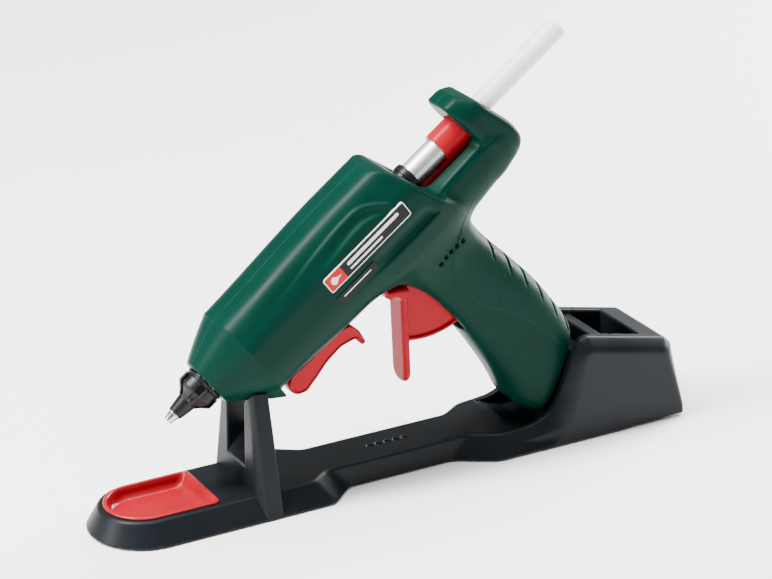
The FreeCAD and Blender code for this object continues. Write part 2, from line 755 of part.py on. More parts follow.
def build_hot_end():
    tip = turned("nozzle_tip_body", [
        ("0", "1"), ("8", "1"), ("14", "2"), ("36", "2"), ("36", "5.4"), ("26.5", "5.4"),
        ("26.5", "4.2"), ("16", "4.2"), ("5", "3.1"), ("4.6", "3.1"), ("0.6", "2.4"),
        ("0", "2.1")])
    keep(tip, "nozzle_tip", True)

    sleeve = turned("nozzle_sleeve_body", [
        ("4.8", "3.25"), ("16", "4.35"), ("25.8", "4.35"), ("25.8", "10.4"), ("18.4", "10.4"),
        ("17.4", "9.6"), ("15.5", "7.2"), ("13", "5"), ("4.8", "3.7")])
    keep(sleeve, "nozzle_sleeve", True)

    bore = turned("melt_bore", [
        ("36", "0"), ("36", "2"), ("44", "stick_radius + 0.2"), ("120", "stick_radius + 0.2"),
        ("120", "0")])
    tip_seat = rod("tip_seat", "x", "5.45", "20", "36.1")
    outside = turned("chamber_outside", [
        ("26.8", "0"), ("26.8", "7.4"), ("33.6", "7.4"), ("33.6", "chamber_radius"),
        ("104", "chamber_radius"), ("104", "7"), ("110", "7"), ("110", "0")])
    heater_arch = box("heater_arch", ("50", "94"), ("-8", "8"), ("-13.6", "0"))
    heater_slot = box("heater_slot", ("49", "95"), ("-6.3", "6.3"), ("-12.4", "-9.1"))
    chamber = cut("melt_chamber_body", fuse("chamber_blank", outside, heater_arch),
                  bore, tip_seat, heater_slot)
    keep(chamber, "melt_chamber", True)

    keep(box("heater_body", ("54", "90"), ("-6.2", "6.2"), ("-12.3", "-9.2")),
         "heater_element", True)

    clip_out = box("clip_outside", ("62", "82"), ("-8.8", "8.8"), ("-14.5", "-6.4"))
    clip_in = box("clip_inside", ("60", "84"), ("-8.1", "8.1"), ("-13.7", "0"))
    keep(cut("heater_clip_body", clip_out, clip_in), "heater_clip", True)

    keep(ring("front_bush_body", "7.5", "9.9", "28.6", "33.4"), "chamber_bush", True)
    keep(turned("inlet_sleeve_body", [
        ("105", "7.05"), ("110.3", "7.05"), ("110.3", "5.9"), ("114", "5.9"),
        ("114", "tube_radius + 0.05"), ("124", "tube_radius + 0.05"), ("124", "8.2"),
        ("105", "8.6")]), "inlet_sleeve", True)
    keep(ring("guide_tube_body", "tube_bore", "tube_radius", "114.2", "189.8"),
         "guide_tube", True)
    keep(ring("tube_bush_body", "tube_radius + 0.05", "7.9", "156.5", "168.4"),
         "tube_bush", True)


# ---------------------------------------------------------------- feed, gun frame


def build_feed():
    collar = ring("collar_ring", "collar_bore", "collar_radius", "collar_front", "collar_rear")
    rail = box("rail_bar", ("158", "collar_rear"), ("-5", "5"), ("-12", "-6.6"))
    rail_fork = box("rail_fork", ("145.4", "158.2"), ("-5", "5"), ("-15.6", "-6.6"))
    web = box("collar_web", ("collar_front", "collar_rear"), ("-5.6", "5.6"), ("-12", "-4"))
    tube_way = rod("tube_way", "x", "collar_bore", "130", "210")
    bush_way = rod("bush_way", "x", "8.2", "130", "181")
    arm_way = box("arm_way", ("140", "157.4"), ("-2.5", "2.5"), ("-20", "-9.3"))
    pin_way = box("pin_way",
                  ("pivot_x + drive_pin_back - drive_pin_radius - 0.25",
                   "pivot_x + drive_pin_back + drive_pin_radius + 0.25"),
                  ("-8", "8"), ("-20", "-9.7"))
    carriage = cut("carriage_body", fuse("carriage_blank", collar, rail, rail_fork, web),
                   tube_way, bush_way, arm_way, pin_way)
    keep(carriage, "feed_carriage", True)

    jaw = turned("jaw_body", [
        ("collar_rear", "stick_radius + 0.05"), ("collar_rear + 2.4", "stick_radius + 0.05"),
        ("collar_rear + 2.4", "7.2"), ("collar_rear", "7.9")])
    keep(jaw, "stick_clamp", True)

    stick = turned("stick_body", [
        ("stick_front", "0"), ("stick_front", "stick_radius - 1"),
        ("stick_front + 3", "stick_radius"), ("stick_rear - 0.4", "stick_radius"),
        ("stick_rear", "stick_radius - 0.4"), ("stick_rear", "0")])
    keep(stick, "glue_stick", True)


SPRING_FRONT = 122.15
SPRING_HEIGHT = -12.4


def build_spring():
    """Return spring between the housing's rib and the front of the feed rail."""
    coil = doc.addObject("Part::Helix", "spring_helix")
    bind(coil, "Pitch", "spring_pitch")
    bind(coil, "Height", "spring_length")
    bind(coil, "Radius", "spring_radius")
    coil.Placement = Placement(Vector(SPRING_FRONT, 0, SPRING_HEIGHT), AXES["x"])
    wire = doc.addObject("Part::Circle", "spring_wire")
    bind(wire, "Radius", "spring_wire_radius")
    first_turn = coil.Placement.multVec(Vector(float(sheet.get("spring_radius")), 0, 0))
    wire.Placement = Placement(first_turn, Rotation(Vector(1, 0, 0), 90))
    spring = doc.addObject("Part::Sweep", "spring_body")
    spring.Sections = [wire]
    spring.Spine = (coil, [])
    spring.Solid = True
    spring.Frenet = True
    keep(spring, "return_spring", True)


# ---------------------------------------------------------------- trigger and leg, gun frame


def build_trigger():
    plate = slab(
        "trigger_plate",
        [("124.6", "-43"), ("126.4", "-40.6"), ("129.2", "-42"), ("129", "-46.3"),
         ("103.4", "-82.4"), ("102", "-83.9"), ("99.6", "-83.2"), ("98.9", "-80.9")],
        "trigger_half",
    )
    knee = slab(
        "trigger_knee",
        [("119.8", "-38.8"), ("122", "-37"), ("129", "-40"), ("129", "-45.5"),
         ("124.4", "-47"), ("122.6", "-44.2")],
        "trigger_half",
    )
    sector = rod("trigger_sector", "y", "web_radius", "-4.6", "4.6", ("pivot_x", "pivot_z"))
    wedge = slab(
        "sector_wedge",
        [("pivot_x", "pivot_z"), ("pivot_x + 1.5", "pivot_z - 60"),
         ("pivot_x - 52", "pivot_z - 60"), ("102", "-80.6"), ("127.5", "-43.5")],
        "10",
    )
    web = common("trigger_web", sector, wedge)
    rim_out = rod("trigger_rim_outer", "y", "web_radius", "-6", "6", ("pivot_x", "pivot_z"))
    rim_in = rod("trigger_rim_inner", "y", "web_radius - 1.6", "-7", "7", ("pivot_x", "pivot_z"))
    rim = common("trigger_rim", cut("trigger_rim_band", rim_out, rim_in), wedge)
    shield_out = rod("shield_outer", "y", "26.6", "-trigger_half", "trigger_half",
                     ("pivot_x", "pivot_z"))
    shield_in = rod("shield_inner", "y", "24.4", "-8", "8", ("pivot_x", "pivot_z"))
    shield_wedge = slab(
        "shield_wedge",
        [("pivot_x", "pivot_z"), ("pivot_x - 40", "pivot_z - 4.4"),
         ("pivot_x - 40", "pivot_z + 20")],
        "10",
    )
    shield = common("trigger_shield", cut("shield_band", shield_out, shield_in), shield_wedge)
    hub = rod("trigger_hub", "y", "pin_radius + 3", "-trigger_half", "trigger_half",
              ("pivot_x", "pivot_z"))
    bridge = slab(
        "trigger_bridge",
        [("pivot_x + 3", "pivot_z + 3"), ("pivot_x - 4", "pivot_z + 5"),
         ("pivot_x - 25.4", "pivot_z + 2"), ("pivot_x - 25.4", "pivot_z - 6"),
         ("pivot_x", "pivot_z - 6")],
        "3",
    )
    arm = slab(
        "trigger_arm",
        [("pivot_x - 4", "pivot_z"), ("pivot_x + 4", "pivot_z"),
         ("pivot_x + drive_pin_back + 2.2", "pivot_z + drive_pin_up"),
         ("pivot_x + drive_pin_back - 2.2", "pivot_z + drive_pin_up")],
        "2",
    )
    drive_pin_place = ("pivot_x + drive_pin_back", "pivot_z + drive_pin_up")
    arm_end = rod("trigger_arm_end", "y", "2.3", "-2", "2", drive_pin_place)
    drive_pin = rod("drive_pin", "y", "drive_pin_radius", "-4.8", "4.8", drive_pin_place)
    bore = rod("trigger_bore", "y", "pin_radius + running_gap", "-9", "9",
               ("pivot_x", "pivot_z"))
    solid = fuse("trigger_solid", plate, knee, web, rim, shield, hub, bridge, arm, arm_end,
                 drive_pin)
    keep(cut("trigger_body", solid, bore), "trigger", True)
    keep(rod("trigger_pin_body", "y", "pin_radius", "-13.2", "13.2", ("pivot_x", "pivot_z")),
         "trigger_pin", True)


def build_leg():
    strip = slab(
        "leg_strip",
        [("leg_pin_x", "-28.9"), ("90", "-29.4"), ("96.4", "-31.6"), ("98.2", "-38"),
         ("97.4", "-45.6"), ("94.6", "-45.6"), ("93.8", "-39.6"), ("86", "-37"),
         ("76", "-37.4"), ("66", "-39.8"), ("leg_pin_x", "-40.7")],
        "leg_half",
    )
    bulb = rod("leg_bulb", "y", "6.1", "-leg_half", "leg_half", ("leg_pin_x", "leg_pin_z"))
    lug_way = box("leg_lug_way", ("50", "66.4"), ("-3.35", "3.35"), ("-45", "-25"))
    bore = rod("leg_bore", "y", "leg_pin_radius + running_gap", "1.6 - leg_half",
               "leg_half - 1.6", ("leg_pin_x", "leg_pin_z"))
    keep(cut("leg_body", fuse("leg_solid", strip, bulb), lug_way, bore), "support_leg", True)
    keep(rod("leg_pin_body", "y", "leg_pin_radius", "1.7 - leg_half", "leg_half - 1.7",
             ("leg_pin_x", "leg_pin_z")), "leg_pin", True)


def build_plates():
    """Blank name plate and small rating plate on the gun's left side."""
    keep(box("name_plate_body", ("98", "152.6"), ("-body_half - 0.5", "-body_half"),
             ("-0.6", "8.6")), "name_plate", True)
    keep(box("rating_plate_body", ("98", "123.4"), ("-body_half - 0.35", "-body_half"),
             ("-8.9", "-4.5")), "rating_plate", True)


# ---------------------------------------------------------------- build, check, export


stand_outside = build_stand()
nose_tool = build_housing()
build_cradle(stand_outside, nose_tool)
build_tray()
build_contacts()
build_heel()
build_hot_end()
build_feed()
build_spring()
build_trigger()
build_leg()
build_plates()
doc.recompute()

failed = [
    f"{thing.Label}: {thing.State}"
    for thing in doc.Objects
    if "Invalid" in thing.State or "Error" in thing.State
]
for body in nodes:
    if body.Shape.isNull() or not body.Shape.isValid() or not body.Shape.Solids:
        failed.append(f"{body.Label}: no valid solid")
if failed:
    raise RuntimeError("; ".join(failed))

os.makedirs("parts", exist_ok=True)
for body in nodes:
    body.Shape.exportStep(f"parts/{body.Label}.step")
    size = body.Shape.BoundBox
    print(
        f"{body.Label:20s} solids {len(body.Shape.Solids)}  volume {body.Shape.Volume:9.1f}"
        f"  x {size.XMin:7.1f} {size.XMax:7.1f}  y {size.YMin:6.1f} {size.YMax:6.1f}"
        f"  z {size.ZMin:6.1f} {size.ZMax:6.1f}"
    )
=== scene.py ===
import json
import math

import bpy
import numpy as np
from mathutils import Matrix, Vector


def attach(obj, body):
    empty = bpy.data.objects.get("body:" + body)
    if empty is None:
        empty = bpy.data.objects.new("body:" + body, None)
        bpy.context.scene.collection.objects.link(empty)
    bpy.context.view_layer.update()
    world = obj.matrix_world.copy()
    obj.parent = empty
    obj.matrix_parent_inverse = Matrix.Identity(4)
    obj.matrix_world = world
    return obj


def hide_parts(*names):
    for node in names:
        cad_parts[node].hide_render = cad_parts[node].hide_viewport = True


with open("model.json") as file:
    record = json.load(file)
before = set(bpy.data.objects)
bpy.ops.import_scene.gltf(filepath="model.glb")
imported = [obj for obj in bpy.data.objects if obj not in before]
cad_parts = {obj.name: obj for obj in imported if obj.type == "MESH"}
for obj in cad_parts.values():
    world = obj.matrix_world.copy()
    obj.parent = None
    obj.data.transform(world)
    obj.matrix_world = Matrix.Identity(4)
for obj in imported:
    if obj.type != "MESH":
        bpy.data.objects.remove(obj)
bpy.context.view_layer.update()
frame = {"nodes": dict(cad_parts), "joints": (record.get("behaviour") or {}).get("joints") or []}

MM = 0.001
FAR = 1.0e3

# Gun frame: origin at the nozzle's outlet, first axis back along the stick, second axis the
# row's Y, third axis square to the stick. Sizes are in millimetres there, and the carriage's
# slide direction gives the tilt.
FEED = next(joint for joint in frame["joints"] if joint["name"] == "stick_feed")
ALONG = -Vector(FEED["axis"]).normalized()
ACROSS = Vector((0.0, 1.0, 0.0))
UPWARD = ALONG.cross(ACROSS)
OUTLET = Vector((-0.1215, 0.0, 0.0525))
GUN = Matrix(
    [
        [ALONG[i] * MM, ACROSS[i] * MM, UPWARD[i] * MM, OUTLET[i]]
        for i in range(3)
    ]
    + [[0.0, 0.0, 0.0, 1.0]]
)
ROW = Matrix.Diagonal((MM, MM, MM, 1.0))


def gun_place(x, z):
    """Where row-frame points lie along and square to the gun's axis, all in mm."""
    x, z = x - OUTLET.x / MM, z - OUTLET.z / MM
    return x * ALONG.x + z * ALONG.z, x * UPWARD.x + z * UPWARD.z


# ---------------------------------------------------------------- distance fields, in mm


def smooth_min(a, b, blend):
    """The lesser of two distances, with the crease between them rounded over blend mm."""
    near = np.clip(blend - np.abs(a - b), 0.0, None)
    return np.minimum(a, b) - near * near / (4.0 * blend)


def smooth_max(a, b, blend):
    """The greater of two distances, with the edge between them rounded over blend mm."""
    near = np.clip(blend - np.abs(a - b), 0.0, None)
    return np.maximum(a, b) + near * near / (4.0 * blend)


def chamfer_max(a, b, leg, blend=0.6):
    """The greater of two distances, with the edge cut off flat, leg mm along each face."""
    return smooth_max(smooth_max(a, b, blend), (a + b + leg) * math.sqrt(0.5), blend)


def ramp(value, start, end):
    """0 before start, 1 after end and a smooth rise between them."""
    share = np.clip((value - start) / (end - start), 0.0, 1.0)
    return share * share * (3.0 - 2.0 * share)


def through(value, knots):
    """A smooth curve through (place, height) knots, with no overshoot between them."""
    places, heights = (np.array(column, dtype=float) for column in zip(*knots))
    runs = np.diff(places)
    slopes = np.diff(heights) / runs
    tangents = np.concatenate([[slopes[0]], (slopes[1:] + slopes[:-1]) / 2.0, [slopes[-1]]])
    turning = np.concatenate([[False], slopes[1:] * slopes[:-1] <= 0.0, [False]])
    tangents[turning] = 0.0
    value = np.clip(value, places[0], places[-1])
    cell = np.clip(np.searchsorted(places, value) - 1, 0, len(runs) - 1)
    run = runs[cell]
    share = (value - places[cell]) / run
    rest = 1.0 - share
    return (
        heights[cell] * (1.0 + 2.0 * share) * rest * rest
        + heights[cell + 1] * (3.0 - 2.0 * share) * share * share
        + run * share * rest * (tangents[cell] * rest - tangents[cell + 1] * share)
    )


def line_side(x, y, start, end):
    """Distance to the line from start to end, negative on its left-hand side."""
    dx, dy = end[0] - start[0], end[1] - start[1]
    return ((x - start[0]) * dy - (y - start[1]) * dx) / np.hypot(dx, dy)


def rounded(corners, steps=6):
    """The points of a closed outline whose (x, y, radius) corners are turned into arcs."""
    points = []
    for before, here, after in zip(corners[-1:] + corners[:-1], corners, corners[1:] + corners[:1]):
        corner = Vector(here[:2])
        back = (Vector(before[:2]) - corner).normalized()
        on = (Vector(after[:2]) - corner).normalized()
        half = back.angle(on) / 2.0
        if here[2] == 0.0 or half > math.radians(89.0):
            points.append(tuple(corner))
            continue
        reach = here[2] / math.tan(half)
        centre = corner + (back + on).normalized() * here[2] / math.sin(half)
        first = corner + back * reach - centre
        last = corner + on * reach - centre
        turn = first.angle_signed(last)
        for step in range(steps + 1):
            spin = Matrix.Rotation(-turn * step / steps, 2)
            points.append(tuple(centre + spin @ first))
    return points


def outline(x, y, corners):
    """Signed distance to a closed outline, negative inside it."""
    x, y = np.broadcast_arrays(x, y)
    nearest = np.full(x.shape, np.inf)
    outside = np.ones(x.shape, dtype=bool)
    for (x1, y1), (x2, y2) in zip(corners, corners[1:] + corners[:1]):
        ex, ey = x2 - x1, y2 - y1
        px, py = x - x1, y - y1
        share = np.clip((px * ex + py * ey) / (ex * ex + ey * ey), 0.0, 1.0)
        nearest = np.minimum(nearest, (px - ex * share) ** 2 + (py - ey * share) ** 2)
        crosses = ((y1 <= y) != (y2 <= y)) & ((ex * py > ey * px) == (y2 > y1))
        outside ^= crosses
    return np.where(outside, 1.0, -1.0) * np.sqrt(nearest)


def segment(x, y, start, end):
    """Distance to a straight segment, and the share of the way along it."""
    ex, ey = end[0] - start[0], end[1] - start[1]
    share = ((x - start[0]) * ex + (y - start[1]) * ey) / (ex * ex + ey * ey)
    share = np.clip(share, 0.0, 1.0)
    return np.hypot(x - start[0] - ex * share, y - start[1] - ey * share), share


def block(x, y, z, low, high, blend=0.0):
    """Distance to a box between two corners."""
    value = -FAR
    for place, start, end in zip((x, y, z), low, high):
        side = np.abs(place - (start + end) / 2.0) - (end - start) / 2.0
        value = smooth_max(value, side, blend) if blend else np.maximum(value, side)
    return value


# ---------------------------------------------------------------- surfaces


def surface(values, low, step, field):
    """Points and quads of values = 0 on a grid, one point in each cell that it crosses."""
    cells, places, quads = [], [], []
    shape = np.array(values.shape)
    inside = values < 0.0
    for axis in range(3):
        here = [slice(None)] * 3
        there = [slice(None)] * 3
        here[axis], there[axis] = slice(None, -1), slice(1, None)
        crossing = inside[tuple(here)] != inside[tuple(there)]
        index = np.argwhere(crossing)
        first = values[tuple(here)][crossing]
        last = values[tuple(there)][crossing]
        place = index.astype(float)
        place[:, axis] += first / (first - last)
        one, two = (axis + 1) % 3, (axis + 2) % 3
        around = []
        for step_one, step_two in ((0, 0), (1, 0), (1, 1), (0, 1)):
            cell = index.copy()
            cell[:, one] -= step_one
            cell[:, two] -= step_two
            around.append(np.ravel_multi_index(cell.clip(0).T, shape))
            places.append(place)
        cells.extend(around)
        quad = np.stack(around, axis=1)
        outward = first > 0.0
        quad[outward] = quad[outward][:, ::-1]
        quads.append(quad)
    cells = np.concatenate(cells)
    places = np.concatenate(places)
    known, owner = np.unique(cells, return_inverse=True)
    count = np.bincount(owner)
    points = np.stack(
        [np.bincount(owner, places[:, axis]) / count for axis in range(3)], axis=1
    )
    points = np.array(low) + points * step
    quads = np.searchsorted(known, np.concatenate(quads))
    return settle(points, field, step), quads


def settle(points, field, step):
    """Moves points onto the field's zero surface, by less than half a cell."""
    start = points.copy()
    probe = step * 0.25
    for _ in range(2):
        value = field(*points.T)
        slope = np.empty_like(points)
        for axis in range(3):
            shift = np.zeros(3)
            shift[axis] = probe
            slope[:, axis] = field(*(points + shift).T) - field(*(points - shift).T)
        slope /= 2.0 * probe
        size = np.maximum((slope**2).sum(axis=1), 0.05)
        points = points - slope * (value / size)[:, None]
        points = start + np.clip(points - start, -step / 2.0, step / 2.0)
    return points


def grid(low, high, step):
    """Three open axes of a grid that spans low to high, for fields to spread over."""
    return np.meshgrid(
        *[np.arange(a, b + step, step) for a, b in zip(low, high)], indexing="ij", sparse=True
    )


def new_object(name, points, faces, place=ROW, flip=False):
    """A smooth-shaded mesh object from points in mm and faces, put in the row frame."""
    points = np.asarray(points, dtype=float)
    matrix = np.array(place)
    points = points @ matrix[:3, :3].T + matrix[:3, 3]
    mesh = bpy.data.meshes.new(name)
    faces = [tuple(face)[::-1] if flip else tuple(face) for face in faces]
    mesh.from_pydata([tuple(point) for point in points.tolist()], [], faces)
    mesh.shade_smooth()
    mesh.update()
    piece = bpy.data.objects.new(name, mesh)
    bpy.context.scene.collection.objects.link(piece)
    return piece


def moulded(name, field, low, high, step, place=ROW):
    """A moulded piece: the surface of a distance field between two corners."""
    axes = grid(low, high, step)
    values = np.array(np.broadcast_to(field(*axes), [axis.size for axis in axes]))
    points, quads = surface(values, low, step, field)
    return new_object(name, points, quads.tolist(), place)


def turned(name, profile, sides=96, place=GUN):
    """A ring turned about the first axis from a closed profile of (along, radius) points."""
    count = len(profile)
    points, faces = [], []
    for side in range(sides):
        angle = 2.0 * math.pi * side / sides
        points += [(u, r * math.cos(angle), r * math.sin(angle)) for u, r in profile]
        here, after = side * count, (side + 1) % sides * count
        for corner in range(count):
            on = (corner + 1) % count
            faces.append((here + corner, here + on, after + on, after + corner))
    piece = new_object(name, points, faces, place)
    piece.data.set_sharp_from_angle(angle=math.radians(35.0))
    return piece


def declare(piece, body, slot, *nodes):
    """The piece rides on a body and stands for CAD nodes, which it hides; slot is not used."""
    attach(piece, body)
    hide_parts(*nodes)
    return piece


# ---------------------------------------------------------------- housing, gun frame

NOSE_FRONT, CREASE = 26.0, 49.5
NOSE_RADIUS = 12.9
SIDE = 22.5
CROWN_HALF = 12.6
WALL = 2.5
SEAM = -0.4


def crown_height(u):
    return 22.5 + 3.7 * ramp(u, 40.0, 130.0)


def barrel(u, s, w):
    """The barrel: flat crown, leaning upper facet, flat side, lower facets and floor."""
    crown = crown_height(u)
    shoulder = 9.3
    lean = crown - shoulder
    reach = SIDE - CROWN_HALF
    upper = ((s - SIDE) * lean + (w - shoulder) * reach) / np.hypot(lean, reach)
    low_edge = -22.5 - 2.5 * ramp(u, 50.0, 110.0)
    floor = -27.6 - 1.6 * ramp(u, 50.0, 110.0)
    flank = line_side(s, w, (18.0, low_edge), (SIDE, -12.0))
    keel = line_side(s, w, (9.5, floor), (18.0, low_edge))
    d = smooth_max(w - crown, upper - leaf(u, w), 7.0)
    d = smooth_max(d, s - SIDE + scoop(u, w), 2.5)
    d = smooth_max(d, flank, 3.0)
    d = smooth_max(d, keel, 4.0)
    return smooth_max(d, floor - w, 3.0)


# Heights of the leaf panel's outer and inner edges, for places along the barrel.
LEAF = [(52.0, 15.0), (80.0, 16.5), (105.0, 19.6), (125.0, 21.0), (136.0, 20.2),
        (144.0, 15.5), (149.5, 9.5), (152.0, 2.0)]
INNER_LEAF = [(70.0, 8.0), (95.0, 11.4), (110.0, 13.0), (128.0, 14.8), (137.0, 13.2),
              (144.0, 8.8), (148.0, 3.5)]


def leaf(u, w):
    """How far the leaf-shaped panel stands out of the upper facet."""
    height = through(u, LEAF)
    inner = through(u, INNER_LEAF)
    rise = 1.0 * ramp(u, 58.0, 112.0) * ramp(w, height + 0.4, height - 1.2)
    fall = 1.0 * ramp(u, 85.0, 118.0) * ramp(w, height - 1.0, inner + 1.2)
    plateau = 1.5 * ramp(u, 85.0, 118.0) * ramp(w, inner + 0.8, inner - 1.6)
    tail = ramp(u, 152.5, 147.5)
    return (rise - fall + plateau) * tail


def scoop(u, w):
    """How deep the long scoop is cut under the plates on the barrel's side."""
    end = 161.0 - (w + 2.0) * 0.55
    profile = ramp(w, -1.6, -10.0) * ramp(w, -12.6, -11.4)
    return 2.1 * ramp(u, 98.0, 146.0) * profile * ramp(u, end, end - 5.0)


def facet_reach(s, w):
    """Radius of each point, and of the nose's rear section in its direction: there it meets
    the barrel's section, but for the chin, which stands out below it."""
    radius = np.maximum(np.hypot(s, w), 1.0e-6)
    ds, dw = s / radius, w / radius
    crown = crown_height(CREASE)
    facets = [
        ((CROWN_HALF, crown), (-CROWN_HALF, crown)),
        ((SIDE, 9.3), (CROWN_HALF, crown)),
        ((SIDE, -12.0), (SIDE, 9.3)),
        ((15.8, -30.8), (SIDE, -12.0)),
        ((-15.8, -30.8), (15.8, -30.8)),
    ]
    inverse = 0.0
    for start, end in facets:
        nx, ny = end[1] - start[1], start[0] - end[0]
        size = math.hypot(nx, ny)
        offset = (start[0] * nx + start[1] * ny) / size
        share = np.clip((ds * nx + dw * ny) / size / offset, 0.0, None)
        inverse = smooth_max(inverse, share, 0.004)
    reach = 1.0 / np.maximum(inverse, 1.0e-6)
    above_chin = ramp(dw, -0.86, -0.6)
    for _ in range(3):
        reach = reach - above_chin * barrel(CREASE, reach * ds, reach * dw)
    return radius, reach


def nose(u, s, w):
    """The nose: round at the nozzle, growing into the barrel's facets and a short chin."""
    radius, wide = facet_reach(s, w)
    share = np.clip((u - NOSE_FRONT) / (CREASE - NOSE_FRONT), 0.0, 1.0)
    share = share + 0.15 * share * (1.0 - share)
    limit = NOSE_RADIUS + (wide - NOSE_RADIUS) * share
    d = (radius - limit) * 0.87
    d = smooth_max(d, NOSE_FRONT - u, 1.2)
    return np.maximum(d, (u - CREASE) * 0.8)


# Places along the gun for heights across it: the handle's edges, its half width, and where
# the grained grip starts.
HANDLE_FRONT = [(-170.0, 130.0), (-150.0, 130.5), (-140.0, 132.4), (-125.0, 135.6), (-100.0, 137.5),
                (-85.0, 137.6), (-65.0, 136.4), (-50.0, 133.6), (-36.0, 127.0), (-26.0, 117.0)]
HANDLE_BACK = [(-170.0, 176.0), (-140.0, 181.8), (-125.0, 184.0), (-110.0, 184.2), (-95.0, 183.5),
               (-75.0, 180.6), (-60.0, 178.0), (-49.0, 176.6), (-36.0, 176.2), (-20.0, 172.0)]
HANDLE_HALF = [(-150.0, 16.9), (-125.0, 16.8), (-100.0, 16.0), (-80.0, 15.4), (-60.0, 15.0),
               (-48.0, 15.4), (-36.0, 17.2), (-22.0, 19.5)]
GRIP_GROOVES = (-56.0, -69.5, -82.5, -96.0, -109.5, -122.5)
GRIP_EDGE = [(-150.0, 200.0), (-141.0, 190.0), (-137.0, 178.0), (-133.0, 173.0), (-120.0, 169.5),
             (-105.0, 165.5), (-90.0, 160.0), (-75.0, 152.0), (-55.0, 150.0), (-42.0, 156.0),
             (-30.0, 175.0), (-20.0, 196.0), (-8.0, 207.0), (20.0, 210.0)]


def grip_zone(u, w):
    """Distance behind the line where the grained grip starts, positive on the grip."""
    return (u - through(w, GRIP_EDGE)) * 0.8


def handle(u, s, w):
    """The curved handle, cut off at the heel."""
    front = through(w, HANDLE_FRONT)
    back = through(w, HANDLE_BACK)
    half = through(w, HANDLE_HALF)
    middle = (front + back) / 2.0
    depth = (back - front) / 2.0
    power = 2.7
    across = np.abs(u - middle) / depth
    size = (across**power + (s / half) ** power + 1.0e-9) ** (1.0 / power)
    d = (size - 1.0) * half
    for height in GRIP_GROOVES:
        back_here = float(through(np.array(height), HANDLE_BACK))
        start, end = (back_here + 1.0, height + 1.0), (back_here - 6.0, height - 8.5)
        away, share = segment(u, w, start, end)
        notch = np.minimum(1.2 - 0.7 * share - away, d + 2.0 * (1.0 - share))
        d = smooth_max(d, notch, 0.3)
    d = d - 0.3 * ramp(grip_zone(u, w), -0.5, 0.5)
    toe = line_side(u, w, (132.2, -141.0), (137.5, -151.0))
    heel = (u - 144.0) * 0.447 - (w + 154.2) * 0.894
    d = smooth_max(smooth_max(d, toe, 8.0), heel, 6.0)
    return smooth_max(d, w + 14.0, 3.0)


# Side outlines of the spine and, with corner radii, of the hoop.
SPINE = [(150.0, -5.6), (205.0, -5.6), (212.0, -12.0), (214.0, -26.0), (206.0, -32.4),
         (195.0, -34.2), (181.0, -37.2), (150.0, -41.0)]
HOOP = [(204.0, -12.0, 0.0), (201.6, 0.0, 0.0), (199.5, 19.2, 1.6), (207.7, 19.0, 4.0),
        (214.2, 12.6, 7.0), (221.9, -12.0, 30.0), (221.9, -25.0, 12.0), (214.5, -30.8, 8.0),
        (200.0, -31.0, 0.0)]


def spine(u, s, w):
    """The spine under the guide tube, with a lip along the channel's wall."""
    half = 17.6 - 1.8 * ramp(u, 160.0, 214.0)
    lip = 0.9 * ramp(w, -10.3, -9.3)
    side = s - half + lip
    bevel = w + 5.6 + (s - 9.5) * 0.34
    belly = line_side(s, w, (11.0, -36.0), (18.5, -25.0))
    d = smooth_max(outline(u, w, SPINE), side, 3.0)
    d = smooth_max(d, bevel, 1.0)
    return smooth_max(d, belly + (u - 160.0) * 0.04, 5.0)


def hoop(u, s, w):
    """The hoop that steadies the glue stick at the rear."""
    half = 15.4 - 1.6 * ramp(w, 4.0, 18.0)
    crown = line_side(s, w, (14.6, 12.2), (8.2, 19.4))
    d = smooth_max(outline(u, w, rounded(HOOP)), s - half, 4.5)
    d = smooth_max(d, crown, 3.0)
    belly = line_side(s, w, (10.5, -33.0), (16.5, -22.0))
    return smooth_max(d, belly, 5.0)


# Places in the gun's mirror plane: hinges, openings and screws, each screw with its seat.
TRIGGER_PIVOT = (146.0, -36.0)
DRIVE_PIN = (151.806, -12.714)
LEG_PIVOT = (59.0, -34.5)
LEG_PIN_ROOM = 1.55
VENT_RADIUS, VENT_DEPTH = 1.3, 1.4
TRIGGER_SLOT = [(113.0, -20.0), (113.0, -60.0), (122.0, -84.5), (146.0, -84.5), (152.0, -45.0),
                (160.0, -20.0), (160.0, -9.0), (140.0, -9.0), (123.0, -20.0)]
VENTS = [(149.4 + 3.9 * index, -37.8 - 0.35 * (index - 2) ** 2) for index in range(5)]
REAR_TOP, SLOPE_START = (157.8, 22.2), 151.3
SCREW_HEAD_ROOM = 3.1
SCREWS = [(64.0, 16.5, 12.5), (142.0, 19.5, 12.5), (104.0, -20.5, 15.5), (184.0, -23.0, 13.5),
          (167.0, -62.0, 10.5), (160.0, -132.0, 13.0)]


def housing_outside(u, s, w):
    """The gun's outside with the rear face, before anything is cut out of it."""
    body = barrel(u, s, w)
    rear = (u - REAR_TOP[0]) * 0.942 + (w - REAR_TOP[1]) * 0.336
    slope = (u - SLOPE_START) * 0.524 + (w - crown_height(SLOPE_START)) * 0.852
    body = smooth_max(body, slope, 1.0)
    body = chamfer_max(body, rear, 1.6, 0.8)
    body = smooth_max(body, CREASE - 0.5 - u, 0.5)
    grip = handle(u, s, w)
    tail = smooth_min(spine(u, s, w), hoop(u, s, w), 3.0)
    d = smooth_min(body, grip, 9.0)
    d = smooth_min(d, tail, 5.0)
    front = u < CREASE + 3.0
    if u.ndim == 3:
        front = front[:, 0, 0]
        d[front] = smooth_min(d[front], nose(u[front], s, w), 0.4)
    else:
        d[front] = smooth_min(d[front], nose(u[front], s[front], w[front]), 0.4)
    return d


